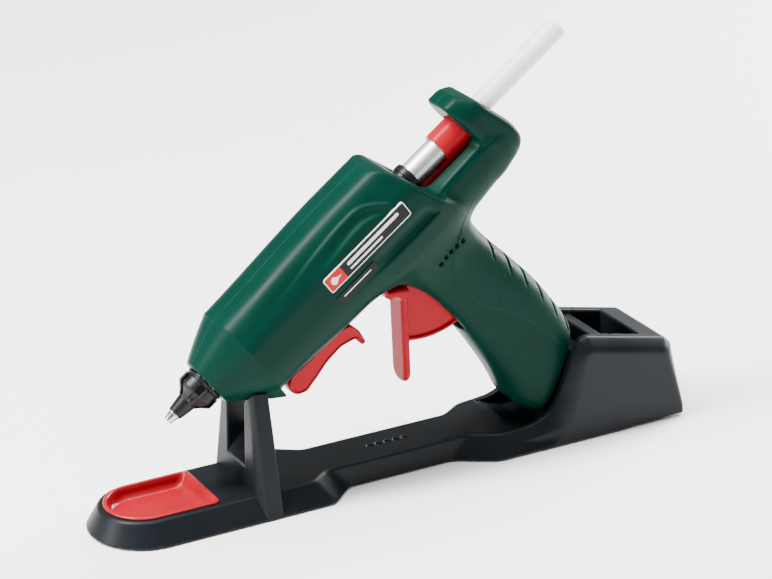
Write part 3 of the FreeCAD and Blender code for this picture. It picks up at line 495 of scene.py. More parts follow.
def housing(u, y, w):
    """One half of the hollow housing, drawn for y above 0."""
    s = np.abs(y)
    radius = np.hypot(s, w)
    d = housing_outside(u, s, w)
    for along, up in VENTS:
        vent = np.minimum(VENT_RADIUS - np.hypot(u - along, w - up), d + VENT_DEPTH)
        d = smooth_max(d, vent, 0.3)
    inner = smooth_max(smooth_max(d + WALL, 30.5 - u, 1.0), u - 196.0, 1.0)
    d = np.maximum(d, -inner)
    trough = block(u, s, w, (161.0, -9.4, -13.2), (199.0, 9.4, 40.0), 0.8)
    recess = np.maximum(radius - 8.4, np.abs(u - 199.0) - 10.5)
    stick_hole = np.maximum(radius - 6.3, 200.0 - u)
    front_hole = np.maximum(radius - 10.0, u - 40.0)
    ring_hole = np.maximum(radius - 8.1, np.abs(u - 162.0) - 12.0)
    slot = np.maximum(s - 7.6, outline(u, w, TRIGGER_SLOT))
    heel = np.maximum(np.maximum(s - 8.1, np.abs((u - 162.0) * 0.894 + (w + 145.3) * 0.447) - 10.1),
                      -9.0 - ((u - 162.0) * 0.447 - (w + 145.3) * 0.894))
    rail = block(u, s, w, (132.0, -7.0, -16.5), (204.0, 7.0, -4.0))
    room = np.maximum(radius - 17.5, np.abs(u - CREASE) - 5.5)
    for hole in (trough, recess, stick_hole, front_hole, ring_hole, slot, heel, rail, room):
        d = smooth_max(d, -hole, 0.7)
    out, below = u - LEG_PIVOT[0], LEG_PIVOT[1] - w
    lug = np.maximum(np.hypot(out, np.maximum(below, 0.0)) - 4.0, s - 3.0)
    lug = np.maximum(lug, np.maximum(w + 24.0, LEG_PIN_ROOM - np.hypot(out, below)))
    d = np.minimum(d, lug)
    return np.maximum(d, SEAM - y)


def screw_sinks(u, s, w):
    """The sunk seats of the screws, on the right half only."""
    d = FAR
    for along, up, seat in SCREWS:
        d = np.minimum(d, np.maximum(np.hypot(u - along, w - up) - SCREW_HEAD_ROOM, seat - s))
    return d


def build_housing():
    """Both halves come from one field; the right one also has the screws' seats."""
    low, high, step = (22.0, -2.0, -160.0), (226.0, 26.0, 31.0), 0.75
    axes = grid(low, high, step)
    values = housing(*axes)
    points, quads = surface(values, low, step, housing)
    grain = ramp(grip_zone(points[:, 0], points[:, 2]), -0.5, 1.0)
    points[:, 1] *= -1.0
    left = new_object("housing_shell_left", points, quads.tolist(), GUN, flip=True)
    mark(left, "grain", grain)

    def right_field(u, y, w):
        return smooth_max(housing(u, y, w), -screw_sinks(u, y, w), 0.5)

    values = smooth_max(values, -screw_sinks(*axes), 0.5)
    points, quads = surface(values, low, step, right_field)
    right = new_object("housing_shell_right", points, quads.tolist(), GUN)
    mark(right, "grain", ramp(grip_zone(points[:, 0], points[:, 2]), -0.5, 1.0))
    for piece, node in ((left, "housing_left"), (right, "housing_right")):
        declare(piece, "gun", "housing_green", node)
        piece.data.materials.append(housing_green())


def mark(piece, name, values):
    """Keeps one number for each point of the mesh, for its material to read."""
    layer = piece.data.attributes.new(name, "FLOAT", "POINT")
    layer.data.foreach_set("value", np.asarray(values, dtype=np.float32))


# ---------------------------------------------------------------- stand, row frame

FOOT, DECK_TOP = 1.0, 12.5
ROUND_END = -136.0
# Side outlines of the rear block, with corner radii: RIM along its middle and PANEL on its
# flanks. WELL is the hollow that the handle's heel stands in.
RIM = [(58.0, 1.0, 0.0), (58.0, 11.6, 0.0), (73.0, 13.2, 24.0), (83.4, 17.6, 14.0),
       (88.4, 25.1, 30.0), (93.4, 39.1, 60.0), (97.2, 50.2, 12.0), (100.5, 54.8, 5.0),
       (103.9, 56.0, 6.0),
       (153.0, 45.1, 4.5), (156.6, 41.6, 4.5), (164.0, 10.0, 8.0), (164.0, 1.0, 0.0)]
PANEL = [(76.0, 1.0, 0.0), (84.0, 3.5, 12.0), (91.0, 10.5, 16.0), (96.4, 27.0, 40.0),
         (99.0, 43.0, 20.0), (100.9, 48.6, 4.0), (104.6, 50.0, 3.0), (149.2, 40.3, 3.5),
         (152.6, 37.0, 3.5), (163.4, 5.0, 6.0), (163.4, 1.0, 0.0)]
WELL = [(64.0, 12.3), (79.0, 7.0), (112.5, 7.0), (112.5, 80.0), (64.0, 80.0)]
WELL_HALF, SLOT_HALF = 18.8, 17.5
SLOT_FRONT, SLOT_BACK = 121.0, 139.3
DIMPLE_RADIUS, DIMPLE_DEPTH = 1.5, 0.9
DIMPLES = [(-10.0 + 5.0 * index, 0.0) for index in range(5)]


def deck_plan(x, s, z):
    """Side of the deck: wide front with a round end, narrow waist and wide rear."""
    share = np.clip((z - FOOT) / (DECK_TOP - FOOT), 0.0, 1.0)
    wide, waist = 27.95 - 6.45 * share, 15.5 - 2.0 * share
    s = np.where(x < ROUND_END, np.hypot(x - ROUND_END, s), s)
    front_start, front_end = -44.0 - 9.5 * share, -29.6 - 12.4 * share
    rear_start, rear_end = 29.4 + 12.6 * share, 50.0 + 4.5 * share
    front = line_side(x, s, (front_end, waist), (front_start, wide))
    rear = line_side(x, s, (rear_end, wide), (rear_start, waist))
    front = smooth_max(s - wide, front, 1.6)
    rear = smooth_max(s - wide, rear, 1.6)
    return smooth_min(smooth_min(s - waist, front, 2.0), rear, 2.0) * 0.88


def stand_outside(x, s, z):
    """The deck and the tall rear block, whose band rolls over between rim and panel."""
    deck = smooth_max(deck_plan(x, s, z), z - DECK_TOP, 1.3)
    deck = np.maximum(deck, x - 130.0)
    share = np.clip((s - 22.0) / 6.0, 0.0, 1.0) ** 1.25
    band = outline(x, z, rounded(RIM)) * (1.0 - share) + outline(x, z, rounded(PANEL)) * share
    block_side = smooth_max(band * 0.85, s - 27.95, 2.0)
    return smooth_max(smooth_min(deck, block_side, 1.2), FOOT - z, 0.6)


def tray_plan(x, s, radius, rear):
    """Plan of the drip tray: round in front, square behind."""
    front = np.where(x < ROUND_END, np.hypot(x - ROUND_END, s), s) - radius
    return smooth_max(front, x - rear, 4.0)


def stand_base(x, y, z):
    s = np.abs(y)
    d = stand_outside(x, s, z)
    well = np.maximum(outline(x, z, WELL), s - WELL_HALF)
    seam = np.maximum(np.maximum(np.abs(x - 64.0) - 0.5, 11.8 - z), s - WELL_HALF)
    rib_top = 51.7 - (x - 111.5) * 0.23
    rib_room = np.maximum(np.maximum(rib_top - z, np.abs(x - 116.7) - 5.0), s - SLOT_HALF)
    slot = block(x, y, z, (SLOT_FRONT, -SLOT_HALF, 7.0), (SLOT_BACK, SLOT_HALF, 80.0))
    pocket = np.maximum(tray_plan(x, s, 18.4, -103.9), 5.0 - z)
    gland = np.maximum(np.hypot(y, z - 10.5) - 5.5, 150.0 - x)
    rear_room = block(x, y, z, (54.0, -25.2, -5.0), (160.2, 25.2, 3.25))
    front_room = np.maximum(deck_plan(x, s, z) + 3.0, z - 3.25)
    for hole in (well, seam, rib_room, slot, pocket, gland, rear_room, front_room):
        d = smooth_max(d, -hole, 0.9)
    for along, across in DIMPLES:
        dimple = np.hypot(x - along, y - across) - DIMPLE_RADIUS
        dimple = np.maximum(dimple, DECK_TOP - DIMPLE_DEPTH - z)
        d = smooth_max(d, -dimple, 0.5)
    return d


def build_stand():
    low, high = (-167.0, -31.0, -2.0), (167.0, 31.0, 59.0)
    piece = moulded("stand_moulding", stand_base, low, high, 0.85)
    declare(piece, "stand", "stand_black", "stand_base")
    piece.data.materials.append(stand_black())


def cradle(x, y, z):
    """Two arms that straddle the deck, joined by a saddle under the nose."""
    s = np.abs(y)
    share = np.clip((z - FOOT) / 67.0, 0.0, 1.0)

    def between(low, high):
        return low + (high - low) * share

    front = between(-85.2, -84.8) + (s - 9.1) * between(-0.075, 0.1) - x
    corner = line_side(x, s, (between(-82.4, -83.0), between(27.85, 16.0)),
                       (between(-86.2, -84.4), between(22.5, 13.0)))
    rear = x - between(-72.0, -75.0) + (s - 9.1) * 0.06
    d = smooth_max(smooth_max(front, corner, 0.8), (s - between(27.85, 16.0)) * 0.98, 1.0)
    d = smooth_max(d, rear, 1.2)
    d = np.maximum(np.maximum(d, FOOT - z), z - 68.0)
    saddle = np.maximum(s - 9.1, (23.3 - z + (x + 85.3) * 1.105) * 0.67)
    d = smooth_max(d, -saddle, 0.8)
    d = np.maximum(d, -stand_outside(x, s, z) - 1.0)
    u, w = gun_place(x, z)
    body = np.minimum(nose(u, s, w), np.maximum(barrel(u, s, w), CREASE - 0.5 - u))
    return smooth_max(d, 0.5 - body, 0.8)


def build_cradle():
    low, high = (-89.0, -30.5, -1.5), (-69.0, 30.5, 71.0)
    piece = moulded("nose_cradle_arms", cradle, low, high, 0.55)
    declare(piece, "stand", "stand_black", "nose_cradle")
    piece.data.materials.append(stand_black())


def drip_tray(x, y, z):
    s = np.abs(y)
    side = tray_plan(x, s, 19.5, -102.8)
    lip = smooth_max(smooth_max(side, z - 13.8, 1.3), 12.55 - z, 0.6)
    cup = np.maximum(np.maximum(side + 1.6, z - 13.2), 5.95 - z)
    wall = tray_plan(x, s, 17.2, -98.0) + (13.8 - z) * 0.22
    rear = x + 105.1 + (13.8 - z) * 0.5
    hollow = smooth_max(smooth_max(wall, rear * 0.9, 3.0), 7.35 - z, 3.0)
    return smooth_max(smooth_min(lip, cup, 0.5), -hollow, 1.1)


def build_tray():
    low, high = (-158.0, -22.0, 3.5), (-100.0, 22.0, 16.0)
    piece = moulded("drip_tray_moulding", drip_tray, low, high, 0.45)
    declare(piece, "tray", "tray_red", "drip_tray")
    piece.data.materials.append(gloss_red())


# ---------------------------------------------------------------- hot end and feed, gun frame

# (along, radius) profile of the collar's outside.
SLEEVE = [(4.8, 3.7), (13.0, 5.0), (15.5, 7.0), (17.4, 9.4), (18.6, 10.4), (25.8, 10.4)]


def sleeve(u, y, w):
    """The heat-resistant collar: a flared cone with six keyhole pockets round it."""
    radius = np.hypot(y, w)
    reach = np.interp(u, *zip(*SLEEVE))
    d = smooth_max((radius - reach) * 0.72, 4.8 - u, 0.3)
    d = smooth_max(d, u - 25.8, 0.6)
    turn = (np.arctan2(y, w) / (math.pi / 3.0) + 0.5) % 1.0 - 0.5
    across = turn * (math.pi / 3.0) * radius
    away, share = segment(u, across, (14.5, 0.0), (21.8, 0.0))
    pocket = np.minimum(1.1 + 1.1 * share - away, radius - reach + 1.9)
    d = smooth_max(d, pocket, 0.5)
    d = smooth_max(d, np.minimum(0.5 - np.abs(u - 24.2), radius - 9.8), 0.3)
    bore = np.where(u < 16.2, 3.25 + (u - 4.8) * 0.098, 4.35)
    return smooth_max(d, bore - radius, 0.3)


# (along, radius) profiles of the turned pieces, each a closed ring.
TIP = [(0.0, 1.0), (8.0, 1.0), (14.0, 2.0), (36.0, 2.0), (36.0, 5.4), (26.5, 5.4), (26.5, 4.2),
       (16.0, 4.2), (5.0, 3.1), (4.55, 3.1), (4.4, 2.9), (2.0, 2.45), (0.5, 2.15), (0.12, 1.95),
       (0.0, 1.7)]
BUSH = [(156.6, 6.3), (168.1, 6.2), (168.4, 6.5), (168.4, 7.3), (168.0, 7.7), (166.2, 7.9),
        (164.9, 7.9), (164.5, 7.5), (163.3, 7.5), (162.9, 7.9), (157.0, 7.9), (156.6, 7.5)]


def build_hot_end():
    low, high = (3.0, -12.0, -12.0), (27.5, 12.0, 12.0)
    piece = moulded("nozzle_collar", sleeve, low, high, 0.35, GUN)
    declare(piece, "gun", "sleeve_black", "nozzle_sleeve")
    piece.data.materials.append(matt_black())
    piece = turned("nozzle_point", TIP)
    declare(piece, "gun", "nozzle_metal", "nozzle_tip")
    piece.data.materials.append(turned_metal("nozzle_metal", (0.62, 0.61, 0.60), 0.2))
    piece = turned("tube_seal", BUSH)
    declare(piece, "gun", "sleeve_black", "tube_bush")
    piece.data.materials.append(matt_black())


def carriage(u, y, w):
    """The red collar that pushes the stick, with its rail and fork under the tube."""
    s = np.abs(y)
    radius = np.hypot(y, w)
    collar = smooth_max(radius - 7.8, np.abs(u - 195.0) - 8.0, 0.9)
    rail = block(u, y, w, (158.0, -5.0, -12.0), (203.0, 5.0, -6.6), 0.8)
    fork = block(u, y, w, (145.4, -5.0, -15.6), (158.3, 5.0, -6.6), 0.8)
    web = block(u, y, w, (187.0, -5.6, -12.0), (203.0, 5.6, -4.0), 0.8)
    d = smooth_min(smooth_min(collar, web, 1.2), np.minimum(rail, fork), 0.6)
    d = smooth_max(d, 6.35 - radius, 0.4)
    d = np.maximum(d, np.minimum(8.2 - radius, 181.0 - u))
    d = np.maximum(d, -block(u, y, w, (140.0, -2.5, -20.0), (157.4, 2.5, -9.3)))
    pin_way = np.maximum(np.abs(u - DRIVE_PIN[0]) - 2.05, np.maximum(w + 9.7, s - 8.0))
    return np.maximum(d, -pin_way)


def build_feed():
    low, high = (143.0, -10.0, -17.5), (205.0, 10.0, 10.0)
    piece = moulded("feed_collar", carriage, low, high, 0.42, GUN)
    declare(piece, "carriage", "trigger_red", "feed_carriage")
    piece.data.materials.append(satin_red())
    tail = [(272.9 - 0.5 * (1.0 - math.cos(math.radians(step * 15.0))),
             5.1 + 0.5 * math.sin(math.radians(step * 15.0))) for step in range(7)]
    profile = [(60.0, 0.02), (60.0, 4.8), (62.5, 5.6), (200.0, 5.6)] + tail[::-1] + [(272.9, 0.02)]
    piece = turned("glue_stick_body", profile)
    declare(piece, "carriage", "glue_clear", "glue_stick")
    piece.data.materials.append(glue())


# ---------------------------------------------------------------- trigger and leg, gun frame

# Side outline of the trigger's sector, and the middle line of its finger plate, toe to top.
WEDGE = [TRIGGER_PIVOT, (147.5, -96.0), (94.0, -96.0), (102.0, -80.6), (127.5, -43.5)]
PLATE = [(101.2, -82.2), (126.9, -44.2)]


def trigger(u, y, w):
    """The trigger: a plate for the fingers, a sector behind it, its hub and the arm above."""
    s = np.abs(y)
    out, up = u - TRIGGER_PIVOT[0], w - TRIGGER_PIVOT[1]
    radius = np.hypot(out, up)
    sector = outline(u, w, WEDGE)
    web = smooth_max(smooth_max(radius - 43.8, sector, 0.6), s - 4.5, 0.8)
    rim = smooth_max(np.maximum(radius - 44.0, 42.3 - radius), s - 5.9, 0.8)
    rim = np.maximum(rim, sector)
    toe, top = PLATE
    thick = np.abs(line_side(u, w, toe, top)) - 2.0
    along = (u - toe[0]) * 0.56 + (w - toe[1]) * 0.828
    edge = smooth_max(-along - 3.0, s - 7.0, 7.0)
    plate = smooth_max(smooth_max(thick, edge, 2.4), along - 48.4, 2.0)
    away, _ = segment(u, w, (127.4, -42.4), (121.0, -37.6))
    knee = smooth_max(away - 2.0, s - 7.0, 1.6)
    angle = np.arctan2(up, -out)
    shield = smooth_max(np.abs(radius - 25.5) - 1.05, s - 6.9, 0.8)
    shield = np.maximum(shield, radius * (np.abs(angle - math.radians(9.0)) - math.radians(18.5)))
    hub = smooth_max(radius - 5.0, s - 6.95, 0.6)
    bridge = np.maximum(outline(out, up, [(3.0, 3.0), (-4.0, 5.0), (-25.4, 2.0), (-25.4, -6.0),
                                          (0.0, -6.0)]), s - 3.0)
    arm = outline(out, up, [(-4.0, 0.0), (4.0, 0.0), (8.0, 23.286), (3.6, 23.286)])
    arm = np.maximum(arm, s - 2.0)
    pin = np.hypot(u - DRIVE_PIN[0], w - DRIVE_PIN[1])
    arm = np.minimum(arm, np.maximum(pin - 2.3, s - 2.0))
    pin = smooth_max(pin - 1.8, s - 4.8, 0.4)
    d = smooth_min(smooth_min(plate, knee, 3.6), smooth_min(web, rim, 0.8), 0.8)
    d = smooth_min(np.minimum(d, shield), smooth_min(hub, bridge, 0.8), 0.5)
    d = np.minimum(np.minimum(d, arm), pin)
    return np.maximum(d, 2.05 - radius)


# Side outline of the leg, with corner radii.
LEG = [(59.0, -28.7, 0.0), (90.0, -29.4, 20.0), (96.6, -31.4, 4.0), (98.3, -38.0, 6.0),
       (97.3, -45.6, 1.0), (94.6, -45.6, 1.0), (93.9, -39.8, 2.0), (86.0, -37.0, 8.0),
       (76.0, -37.5, 20.0), (66.0, -40.0, 10.0), (59.0, -40.5, 0.0)]


def leg(u, y, w):
    """The fold-out leg: a round foot at its hinge, a bowed strip and a hooked end."""
    s = np.abs(y)
    bulb = np.hypot(u - LEG_PIVOT[0], w - LEG_PIVOT[1])
    shape = smooth_min(outline(u, w, rounded(LEG)), bulb - 6.0, 2.5)
    d = smooth_max(shape, s - 9.0, 1.5)
    d = smooth_max(d, np.minimum(-1.25 - shape, s - 8.35), 0.4)
    d = np.maximum(d, -block(u, y, w, (50.0, -3.35, -45.0), (66.4, 3.35, -25.0)))
    return np.maximum(d, np.minimum(LEG_PIN_ROOM - bulb, 7.4 - s))


def build_trigger():
    low, high = (95.0, -8.5, -86.5), (157.0, 8.5, -8.5)
    piece = moulded("trigger_moulding", trigger, low, high, 0.45, GUN)
    declare(piece, "trigger", "trigger_red", "trigger")
    piece.data.materials.append(satin_red())
    low, high = (51.0, -11.0, -48.0), (101.0, 11.0, -26.0)
    piece = moulded("support_leg_moulding", leg, low, high, 0.4, GUN)
    declare(piece, "leg", "trigger_red", "support_leg")
    piece.data.materials.append(satin_red())


# ---------------------------------------------------------------- plates, gun frame


def rectangle(u_range, w_range, radius):
    (left, right), (low, high) = u_range, w_range
    return rounded([(left, low, radius), (right, low, radius), (right, high, radius),
                    (left, high, radius)])


def drop(u, w, radius, steps=24):
    """A plain drop: a round end that narrows to a point along the plate."""
    points = []
    for step in range(steps):
        angle = 2.0 * math.pi * step / steps
        reach = radius * (1.0 + 0.9 * max(math.cos(angle), 0.0) ** 6)
        points.append((u + reach * math.cos(angle), w + radius * math.sin(angle)
                       * (1.0 - 0.75 * max(math.cos(angle), 0.0))))
    return points


def layered(name, layers, finishes):
    """Flat layers on the gun's left side, each from the shell up to its own height."""
    points, faces, numbers = [], [], []
    for shape, height, number in layers:
        middle = np.mean(shape, axis=0)
        size = np.ptp(shape, axis=0)
        start, count = len(points), len(shape)
        for level, inset in ((SIDE - 1.4, 0.0), (height - 0.06, 0.0), (height, 0.06)):
            for corner in shape:
                u, w = middle + (np.array(corner) - middle) * (1.0 - 2.0 * inset / size)
                points.append((u, -level, w))
        for row in (start, start + count):
            for corner in range(count):
                on = (corner + 1) % count
                faces.append((row + corner, row + on, row + count + on, row + count + corner))
        faces.append(tuple(range(start + 2 * count, start + 3 * count)))
        faces.append(tuple(reversed(range(start, start + count))))
        numbers += [number] * (2 * count + 2)
    piece = new_object(name, points, faces, GUN)
    for finish_material in finishes:
        piece.data.materials.append(finish_material)
    piece.data.polygons.foreach_set("material_index", numbers)
    piece.data.set_sharp_from_angle(angle=math.radians(30.0))
    return piece


def build_plates():
    film = printed("label_film", (0.006, 0.0065, 0.0075))
    pale = printed("label_pale", (0.80, 0.81, 0.82))
    red = printed("label_red", (0.50, 0.004, 0.008))
    height = SIDE + 0.44
    layers = [
        (rectangle((98.0, 152.6), (-0.6, 8.6), 1.2), height, 1),
        (rectangle((98.45, 152.15), (-0.15, 8.15), 0.9), height + 0.02, 0),
        (rectangle((98.45, 109.0), (-0.15, 8.15), 0.9), height + 0.035, 2),
        (drop(103.0, 4.0, 2.3), height + 0.05, 1),
        (rectangle((112.5, 147.5), (4.4, 6.4), 1.0), height + 0.05, 1),
        (rectangle((112.5, 134.5), (1.7, 2.9), 0.6), height + 0.05, 1),
    ]
    piece = layered("name_badge", layers, (film, pale, red))
    declare(piece, "gun", "label_film", "name_plate")
    layers = [
        (rectangle((98.0, 123.4), (-8.9, -4.5), 0.8), SIDE + 0.3, 0),
        (rectangle((101.5, 119.9), (-7.0, -6.4), 0.3), SIDE + 0.34, 1),
    ]
    piece = layered("rating_badge", layers, (film, pale))
    declare(piece, "gun", "label_film", "rating_plate")


# ---------------------------------------------------------------- materials


FINISHES = {}


def new_material(name, colour, roughness, **sockets):
    """A material and its shader, or one made before under that name and no shader."""
    if name in FINISHES:
        return FINISHES[name], None
    material = FINISHES[name] = bpy.data.materials.new(name)
    material.use_nodes = True
    shader = material.node_tree.nodes["Principled BSDF"]
    shader.inputs["Base Color"].default_value = (*colour, 1.0)
    shader.inputs["Roughness"].default_value = roughness
    for socket, value in sockets.items():
        shader.inputs[socket.replace("_", " ")].default_value = value
    return material, shader


def add(tree, kind, settings=None, **inputs):
    """A new node; inputs are numbers to set or the outputs to join to them."""
    node = tree.nodes.new(kind)
    for name, value in (settings or {}).items():
        setattr(node, name, value)
    for name, value in inputs.items():
        socket = node.inputs[name.replace("_", " ")]
        if isinstance(value, bpy.types.NodeSocket):
            tree.links.new(value, socket)
        else:
            socket.default_value = value
    return node


def clouds(tree, place, scale, detail=3.0):
    return add(tree, "ShaderNodeTexNoise", Vector=place, Scale=scale, Detail=detail).outputs["Fac"]


def spread(tree, value, low, high, start=0.3, end=0.7):
    """The value's range from start to end, stretched over low to high."""
    return add(tree, "ShaderNodeMapRange", Value=value, From_Min=start, From_Max=end,
               To_Min=low, To_Max=high).outputs["Result"]


def blend_colours(tree, share, first, second):
    node = add(tree, "ShaderNodeMix", {"data_type": "RGBA"})
    tree.links.new(share, node.inputs["Factor"])
    for socket, colour in ((node.inputs[6], first), (node.inputs[7], second)):
        if isinstance(colour, bpy.types.NodeSocket):
            tree.links.new(colour, socket)
        else:
            socket.default_value = (*colour, 1.0)
    return node.outputs[2]


def bumped(tree, height, distance, strength=1.0, normal=None):
    node = add(tree, "ShaderNodeBump", Height=height, Distance=distance, Strength=strength)
    if normal:
        tree.links.new(normal, node.inputs["Normal"])
    return node.outputs["Normal"]


def moulded_plastic(name, dark, light, highlight_and_streak_tint, roughness, grain, depth, edge=0.5, **sockets):
    """Moulded plastic: faint clouds, a fine grain and a paler colour on convex edges, a painted
    highlight where edges catch the light.
    """
    material, shader = new_material(name, dark, roughness, **sockets)
    if shader is None:
        return material
    tree = material.node_tree
    place = add(tree, "ShaderNodeTexCoord").outputs["Object"]
    broad, fine = clouds(tree, place, 45.0), clouds(tree, place, grain, 2.0)
    colour = blend_colours(tree, spread(tree, broad, 0.0, 1.0), dark, light)
    # Convex edges get the third colour painted on, as a highlight along the edges.
    pointed = add(tree, "ShaderNodeNewGeometry").outputs["Pointiness"]
    edge_highlight_share = spread(tree, pointed, 0.0, edge, 0.52, 0.60)
    colour = blend_colours(tree, edge_highlight_share, colour, highlight_and_streak_tint)
    tree.links.new(colour, shader.inputs["Base Color"])
    rough = spread(tree, broad, roughness - 0.04, roughness + 0.05)
    tree.links.new(rough, shader.inputs["Roughness"])
    tree.links.new(bumped(tree, fine, depth), shader.inputs["Normal"])
    return material


def stand_black():
    # The third colour is a painted highlight for convex edges.
    return moulded_plastic("stand_black", (0.0046, 0.0062, 0.0078), (0.0056, 0.0074, 0.0092),
                           (0.014, 0.018, 0.022), 0.36, 2600.0, 0.00004,
                           Specular_IOR_Level=0.12)


def matt_black():
    # The third colour is a painted highlight for convex edges.
    return moulded_plastic("sleeve_black", (0.0035, 0.0038, 0.0045), (0.005, 0.0055, 0.006),
                           (0.012, 0.012, 0.013), 0.36, 2200.0, 0.00003,
                           Specular_IOR_Level=0.2)


def satin_red():
    # The third colour is a painted highlight for convex edges.
    return moulded_plastic("satin_red", (0.30, 0.0032, 0.0105), (0.34, 0.0042, 0.0130),
                           (0.46, 0.025, 0.032), 0.30, 1800.0, 0.00003,
                           Specular_IOR_Level=0.08)


def gloss_red():
    # The third colour is a painted highlight for convex edges.
    return moulded_plastic("gloss_red", (0.24, 0.0018, 0.0080), (0.28, 0.0028, 0.0105),
                           (0.42, 0.012, 0.020), 0.2, 900.0, 0.00001, 0.4,
                           Specular_IOR_Level=0.22)


def housing_green():
    """Satin green plastic; the grip is grained, with paler patches painted on it as the sheen its
    grain catches.
    """
    dark, light = (0.0001, 0.0190, 0.0122), (0.0002, 0.0225, 0.0146)
    # The third colour is a painted highlight for convex edges.
    material = moulded_plastic("housing_green", dark, light, (0.002, 0.044, 0.030), 0.35, 2400.0,
                               0.00003, 0.35, Specular_IOR_Level=0.055)
    tree = material.node_tree
    if "grip_mask" in tree.nodes:
        return material
    shader = tree.nodes["Principled BSDF"]
    mask = add(tree, "ShaderNodeAttribute", {"attribute_name": "grain", "name": "grip_mask"})
    place = add(tree, "ShaderNodeTexCoord").outputs["Object"]
    pebbles = add(tree, "ShaderNodeTexVoronoi", Vector=place, Scale=1500.0).outputs["Distance"]
    patches = clouds(tree, place, 1300.0, 2.0)
    height = add(tree, "ShaderNodeMath", {"operation": "MULTIPLY"})
    tree.links.new(pebbles, height.inputs[0])
    tree.links.new(mask.outputs["Fac"], height.inputs[1])
    normal = shader.inputs["Normal"].links[0].from_socket
    tree.links.new(bumped(tree, height.outputs[0], 0.00009, 1.0, normal), shader.inputs["Normal"])
    # Paler patches painted into the grip's colour stand in for the sheen of light on its grain.
    painted_grip_sheen = add(tree, "ShaderNodeMath", {"operation": "MULTIPLY"})
    tree.links.new(spread(tree, patches, 0.0, 0.6, 0.45, 0.75), painted_grip_sheen.inputs[0])
    tree.links.new(mask.outputs["Fac"], painted_grip_sheen.inputs[1])
    plain_colour = shader.inputs["Base Color"].links[0].from_socket
    colour = blend_colours(tree, painted_grip_sheen.outputs[0], plain_colour, (0.004, 0.036, 0.026))
    tree.links.new(colour, shader.inputs["Base Color"])
    return material


def printed(name, colour):
    """Printed film: an even gloss with a slight orange peel."""
    material, shader = new_material(name, colour, 0.22, Specular_IOR_Level=0.12)
    if shader:
        tree = material.node_tree
        place = add(tree, "ShaderNodeTexCoord").outputs["Object"]
        peel = clouds(tree, place, 500.0)
        tree.links.new(bumped(tree, peel, 0.00001), shader.inputs["Normal"])
        shade = blend_colours(tree, spread(tree, peel, 0.0, 1.0), colour, [0.9 * c for c in colour])
        tree.links.new(shade, shader.inputs["Base Color"])
        tree.links.new(spread(tree, peel, 0.18, 0.28), shader.inputs["Roughness"])
    return material


def turned_metal(name, colour, roughness, lines=(40.0, 2600.0, 2600.0)):
    """Bright metal with fine lines along the gun's axis or, turned, round it."""
    material, shader = new_material(name, colour, roughness, Metallic=1.0)
    if shader:
        tree = material.node_tree
        place = add(tree, "ShaderNodeTexCoord").outputs["Object"]
        tilt = math.atan2(ALONG.z, ALONG.x)
        level = add(tree, "ShaderNodeMapping", Vector=place, Rotation=(0.0, tilt, 0.0))
        drawn = add(tree, "ShaderNodeMapping", Vector=level.outputs[0], Scale=lines)
        streaks = clouds(tree, drawn.outputs[0], 1.0, 4.0)
        highlight_and_streak_tint = [0.72 * c for c in colour]
        shade = blend_colours(tree, spread(tree, streaks, 0.0, 1.0), highlight_and_streak_tint, colour)
        tree.links.new(shade, shader.inputs["Base Color"])
        rough = spread(tree, streaks, roughness - 0.08, roughness + 0.12)
        tree.links.new(rough, shader.inputs["Roughness"])
        tree.links.new(bumped(tree, streaks, 0.00001), shader.inputs["Normal"])
    return material


def glue():
    """Milky hot-melt glue that lets some light through."""
    material, shader = new_material("glue_clear", (0.84, 0.86, 0.87), 0.3, Transmission_Weight=0.25,
                                    Subsurface_Weight=0.5, Subsurface_Scale=0.004, IOR=1.45)
    if shader:
        tree = material.node_tree
        place = add(tree, "ShaderNodeTexCoord").outputs["Object"]
        haze = clouds(tree, place, 130.0)
        shade = blend_colours(tree, spread(tree, haze, 0.0, 1.0), (0.80, 0.82, 0.83),
                              (0.90, 0.91, 0.92))
        tree.links.new(shade, shader.inputs["Base Color"])
        tree.links.new(bumped(tree, haze, 0.00004), shader.inputs["Normal"])
    return material


def rough_solid(name, dark, light, roughness, scale, depth, **sockets):
    """Rubber, ceramic or cast metal: mottled colour and an uneven surface."""
    # The pale colour also paints a faint highlight on convex edges.
    return moulded_plastic(name, dark, light, light, roughness, scale, depth, 0.2, **sockets)


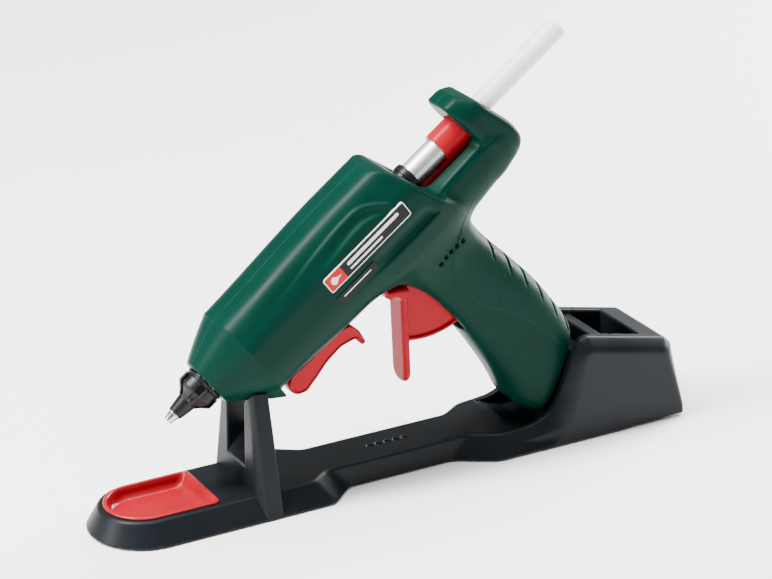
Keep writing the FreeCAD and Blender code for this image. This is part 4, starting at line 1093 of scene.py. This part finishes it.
def finish_cad_nodes():
    """Finishes for the CAD nodes that are shown as they are."""
    zinc = turned_metal("screw_zinc", (0.46, 0.46, 0.47), 0.34, (300.0, 300.0, 300.0))
    steel = turned_metal("spring_steel", (0.52, 0.52, 0.53), 0.28, (500.0, 500.0, 500.0))
    cast = rough_solid("chamber_cast", (0.48, 0.48, 0.49), (0.60, 0.60, 0.61), 0.45, 700.0,
                       0.00008, Metallic=1.0)
    silicone = rough_solid("bush_silicone", (0.36, 0.075, 0.05), (0.44, 0.10, 0.07), 0.6, 600.0,
                           0.00005)
    rubber = rough_solid("foot_rubber", (0.012, 0.012, 0.012), (0.020, 0.020, 0.020), 0.75,
                         900.0, 0.0001)
    brass = turned_metal("contact_brass", (0.68, 0.50, 0.24), 0.3, (400.0, 400.0, 400.0))
    ceramic = rough_solid("heater_ceramic", (0.74, 0.73, 0.69), (0.82, 0.81, 0.77), 0.7, 500.0,
                          0.00006)
    tube = turned_metal("tube_drawn", (0.74, 0.75, 0.76), 0.42)
    finishes = {
        "rubber_feet": rubber, "stand_screws": zinc, "housing_screws": zinc,
        "stand_bottom_plate": stand_black(), "cord_gland": matt_black(),
        "contact_socket": matt_black(), "heel_plate": matt_black(),
        "base_contacts": brass, "heel_contacts": brass, "melt_chamber": cast,
        "heater_element": ceramic, "heater_clip": steel, "chamber_bush": silicone,
        "inlet_sleeve": silicone, "stick_clamp": silicone, "guide_tube": tube,
        "trigger_pin": steel, "leg_pin": steel, "return_spring": steel,
    }
    for node, material in finishes.items():
        shown = frame["nodes"][node]
        shown.data.materials.clear()
        shown.data.materials.append(material)


# ---------------------------------------------------------------- studio


LENS, SENSOR = 137.56, 36.0
CAMERA_PLACE = (-0.664456, -1.16413, 0.666)
CAMERA_PITCH, CAMERA_TURN = 66.95, -29.7
FLOOR_REACH = 3000


def build_camera():
    """A long lens that takes in the gun's left side, the nose and the deck."""
    data = bpy.data.cameras.new("camera")
    data.lens = LENS
    data.sensor_width = SENSOR
    camera = bpy.data.objects.new("camera", data)
    camera.location = CAMERA_PLACE
    camera.rotation_euler = (math.radians(CAMERA_PITCH), 0.0, math.radians(CAMERA_TURN))
    bpy.context.scene.collection.objects.link(camera)
    bpy.context.scene.camera = camera


def add_light(name, place, target, size, power):
    data = bpy.data.lights.new(name, "AREA")
    data.shape = "RECTANGLE"
    data.size, data.size_y = size
    data.energy = power
    lamp = bpy.data.objects.new(name, data)
    lamp.location = place
    lamp.rotation_euler = (Vector(target) - Vector(place)).to_track_quat("-Z", "Y").to_euler()
    bpy.context.scene.collection.objects.link(lamp)


def build_studio():
    world = bpy.data.worlds.new("studio")
    bpy.context.scene.world = world
    world.use_nodes = True
    sky = world.node_tree.nodes["Background"]
    sky.inputs["Color"].default_value = (1.0, 1.0, 1.0, 1.0)
    sky.inputs["Strength"].default_value = 0.38
    add_light("top", (-0.85, 0.1, 1.35), (-0.02, 0.0, 0.12), (0.22, 0.8), 75.0)
    add_light("left", (-1.3, 0.2, 0.5), (-0.1, 0.0, 0.06), (0.3, 0.6), 15.0)
    add_light("rear", (1.1, 0.45, 0.75), (0.03, 0.0, 0.10), (0.5, 0.8), 26.0)
    add_light("side", (1.4, 0.3, 0.3), (0.0, 0.0, 0.05), (0.5, 0.5), 24.0)
    add_light("overhead", (0.1, 0.1, 1.7), (0.0, 0.0, 0.0), (1.6, 1.6), 52.0)
    corners = [(-FLOOR_REACH, -FLOOR_REACH, 0), (FLOOR_REACH, -FLOOR_REACH, 0),
               (FLOOR_REACH, FLOOR_REACH, 0), (-FLOOR_REACH, FLOOR_REACH, 0)]
    floor = new_object("floor", corners, [(0, 1, 2, 3)])
    material, _ = new_material("floor", (0.93, 0.93, 0.93), 0.7)
    floor.data.materials.append(material)


build_camera()
build_studio()
build_housing()
build_stand()
build_cradle()
build_tray()
build_hot_end()
build_feed()
build_trigger()
build_plates()
finish_cad_nodes()
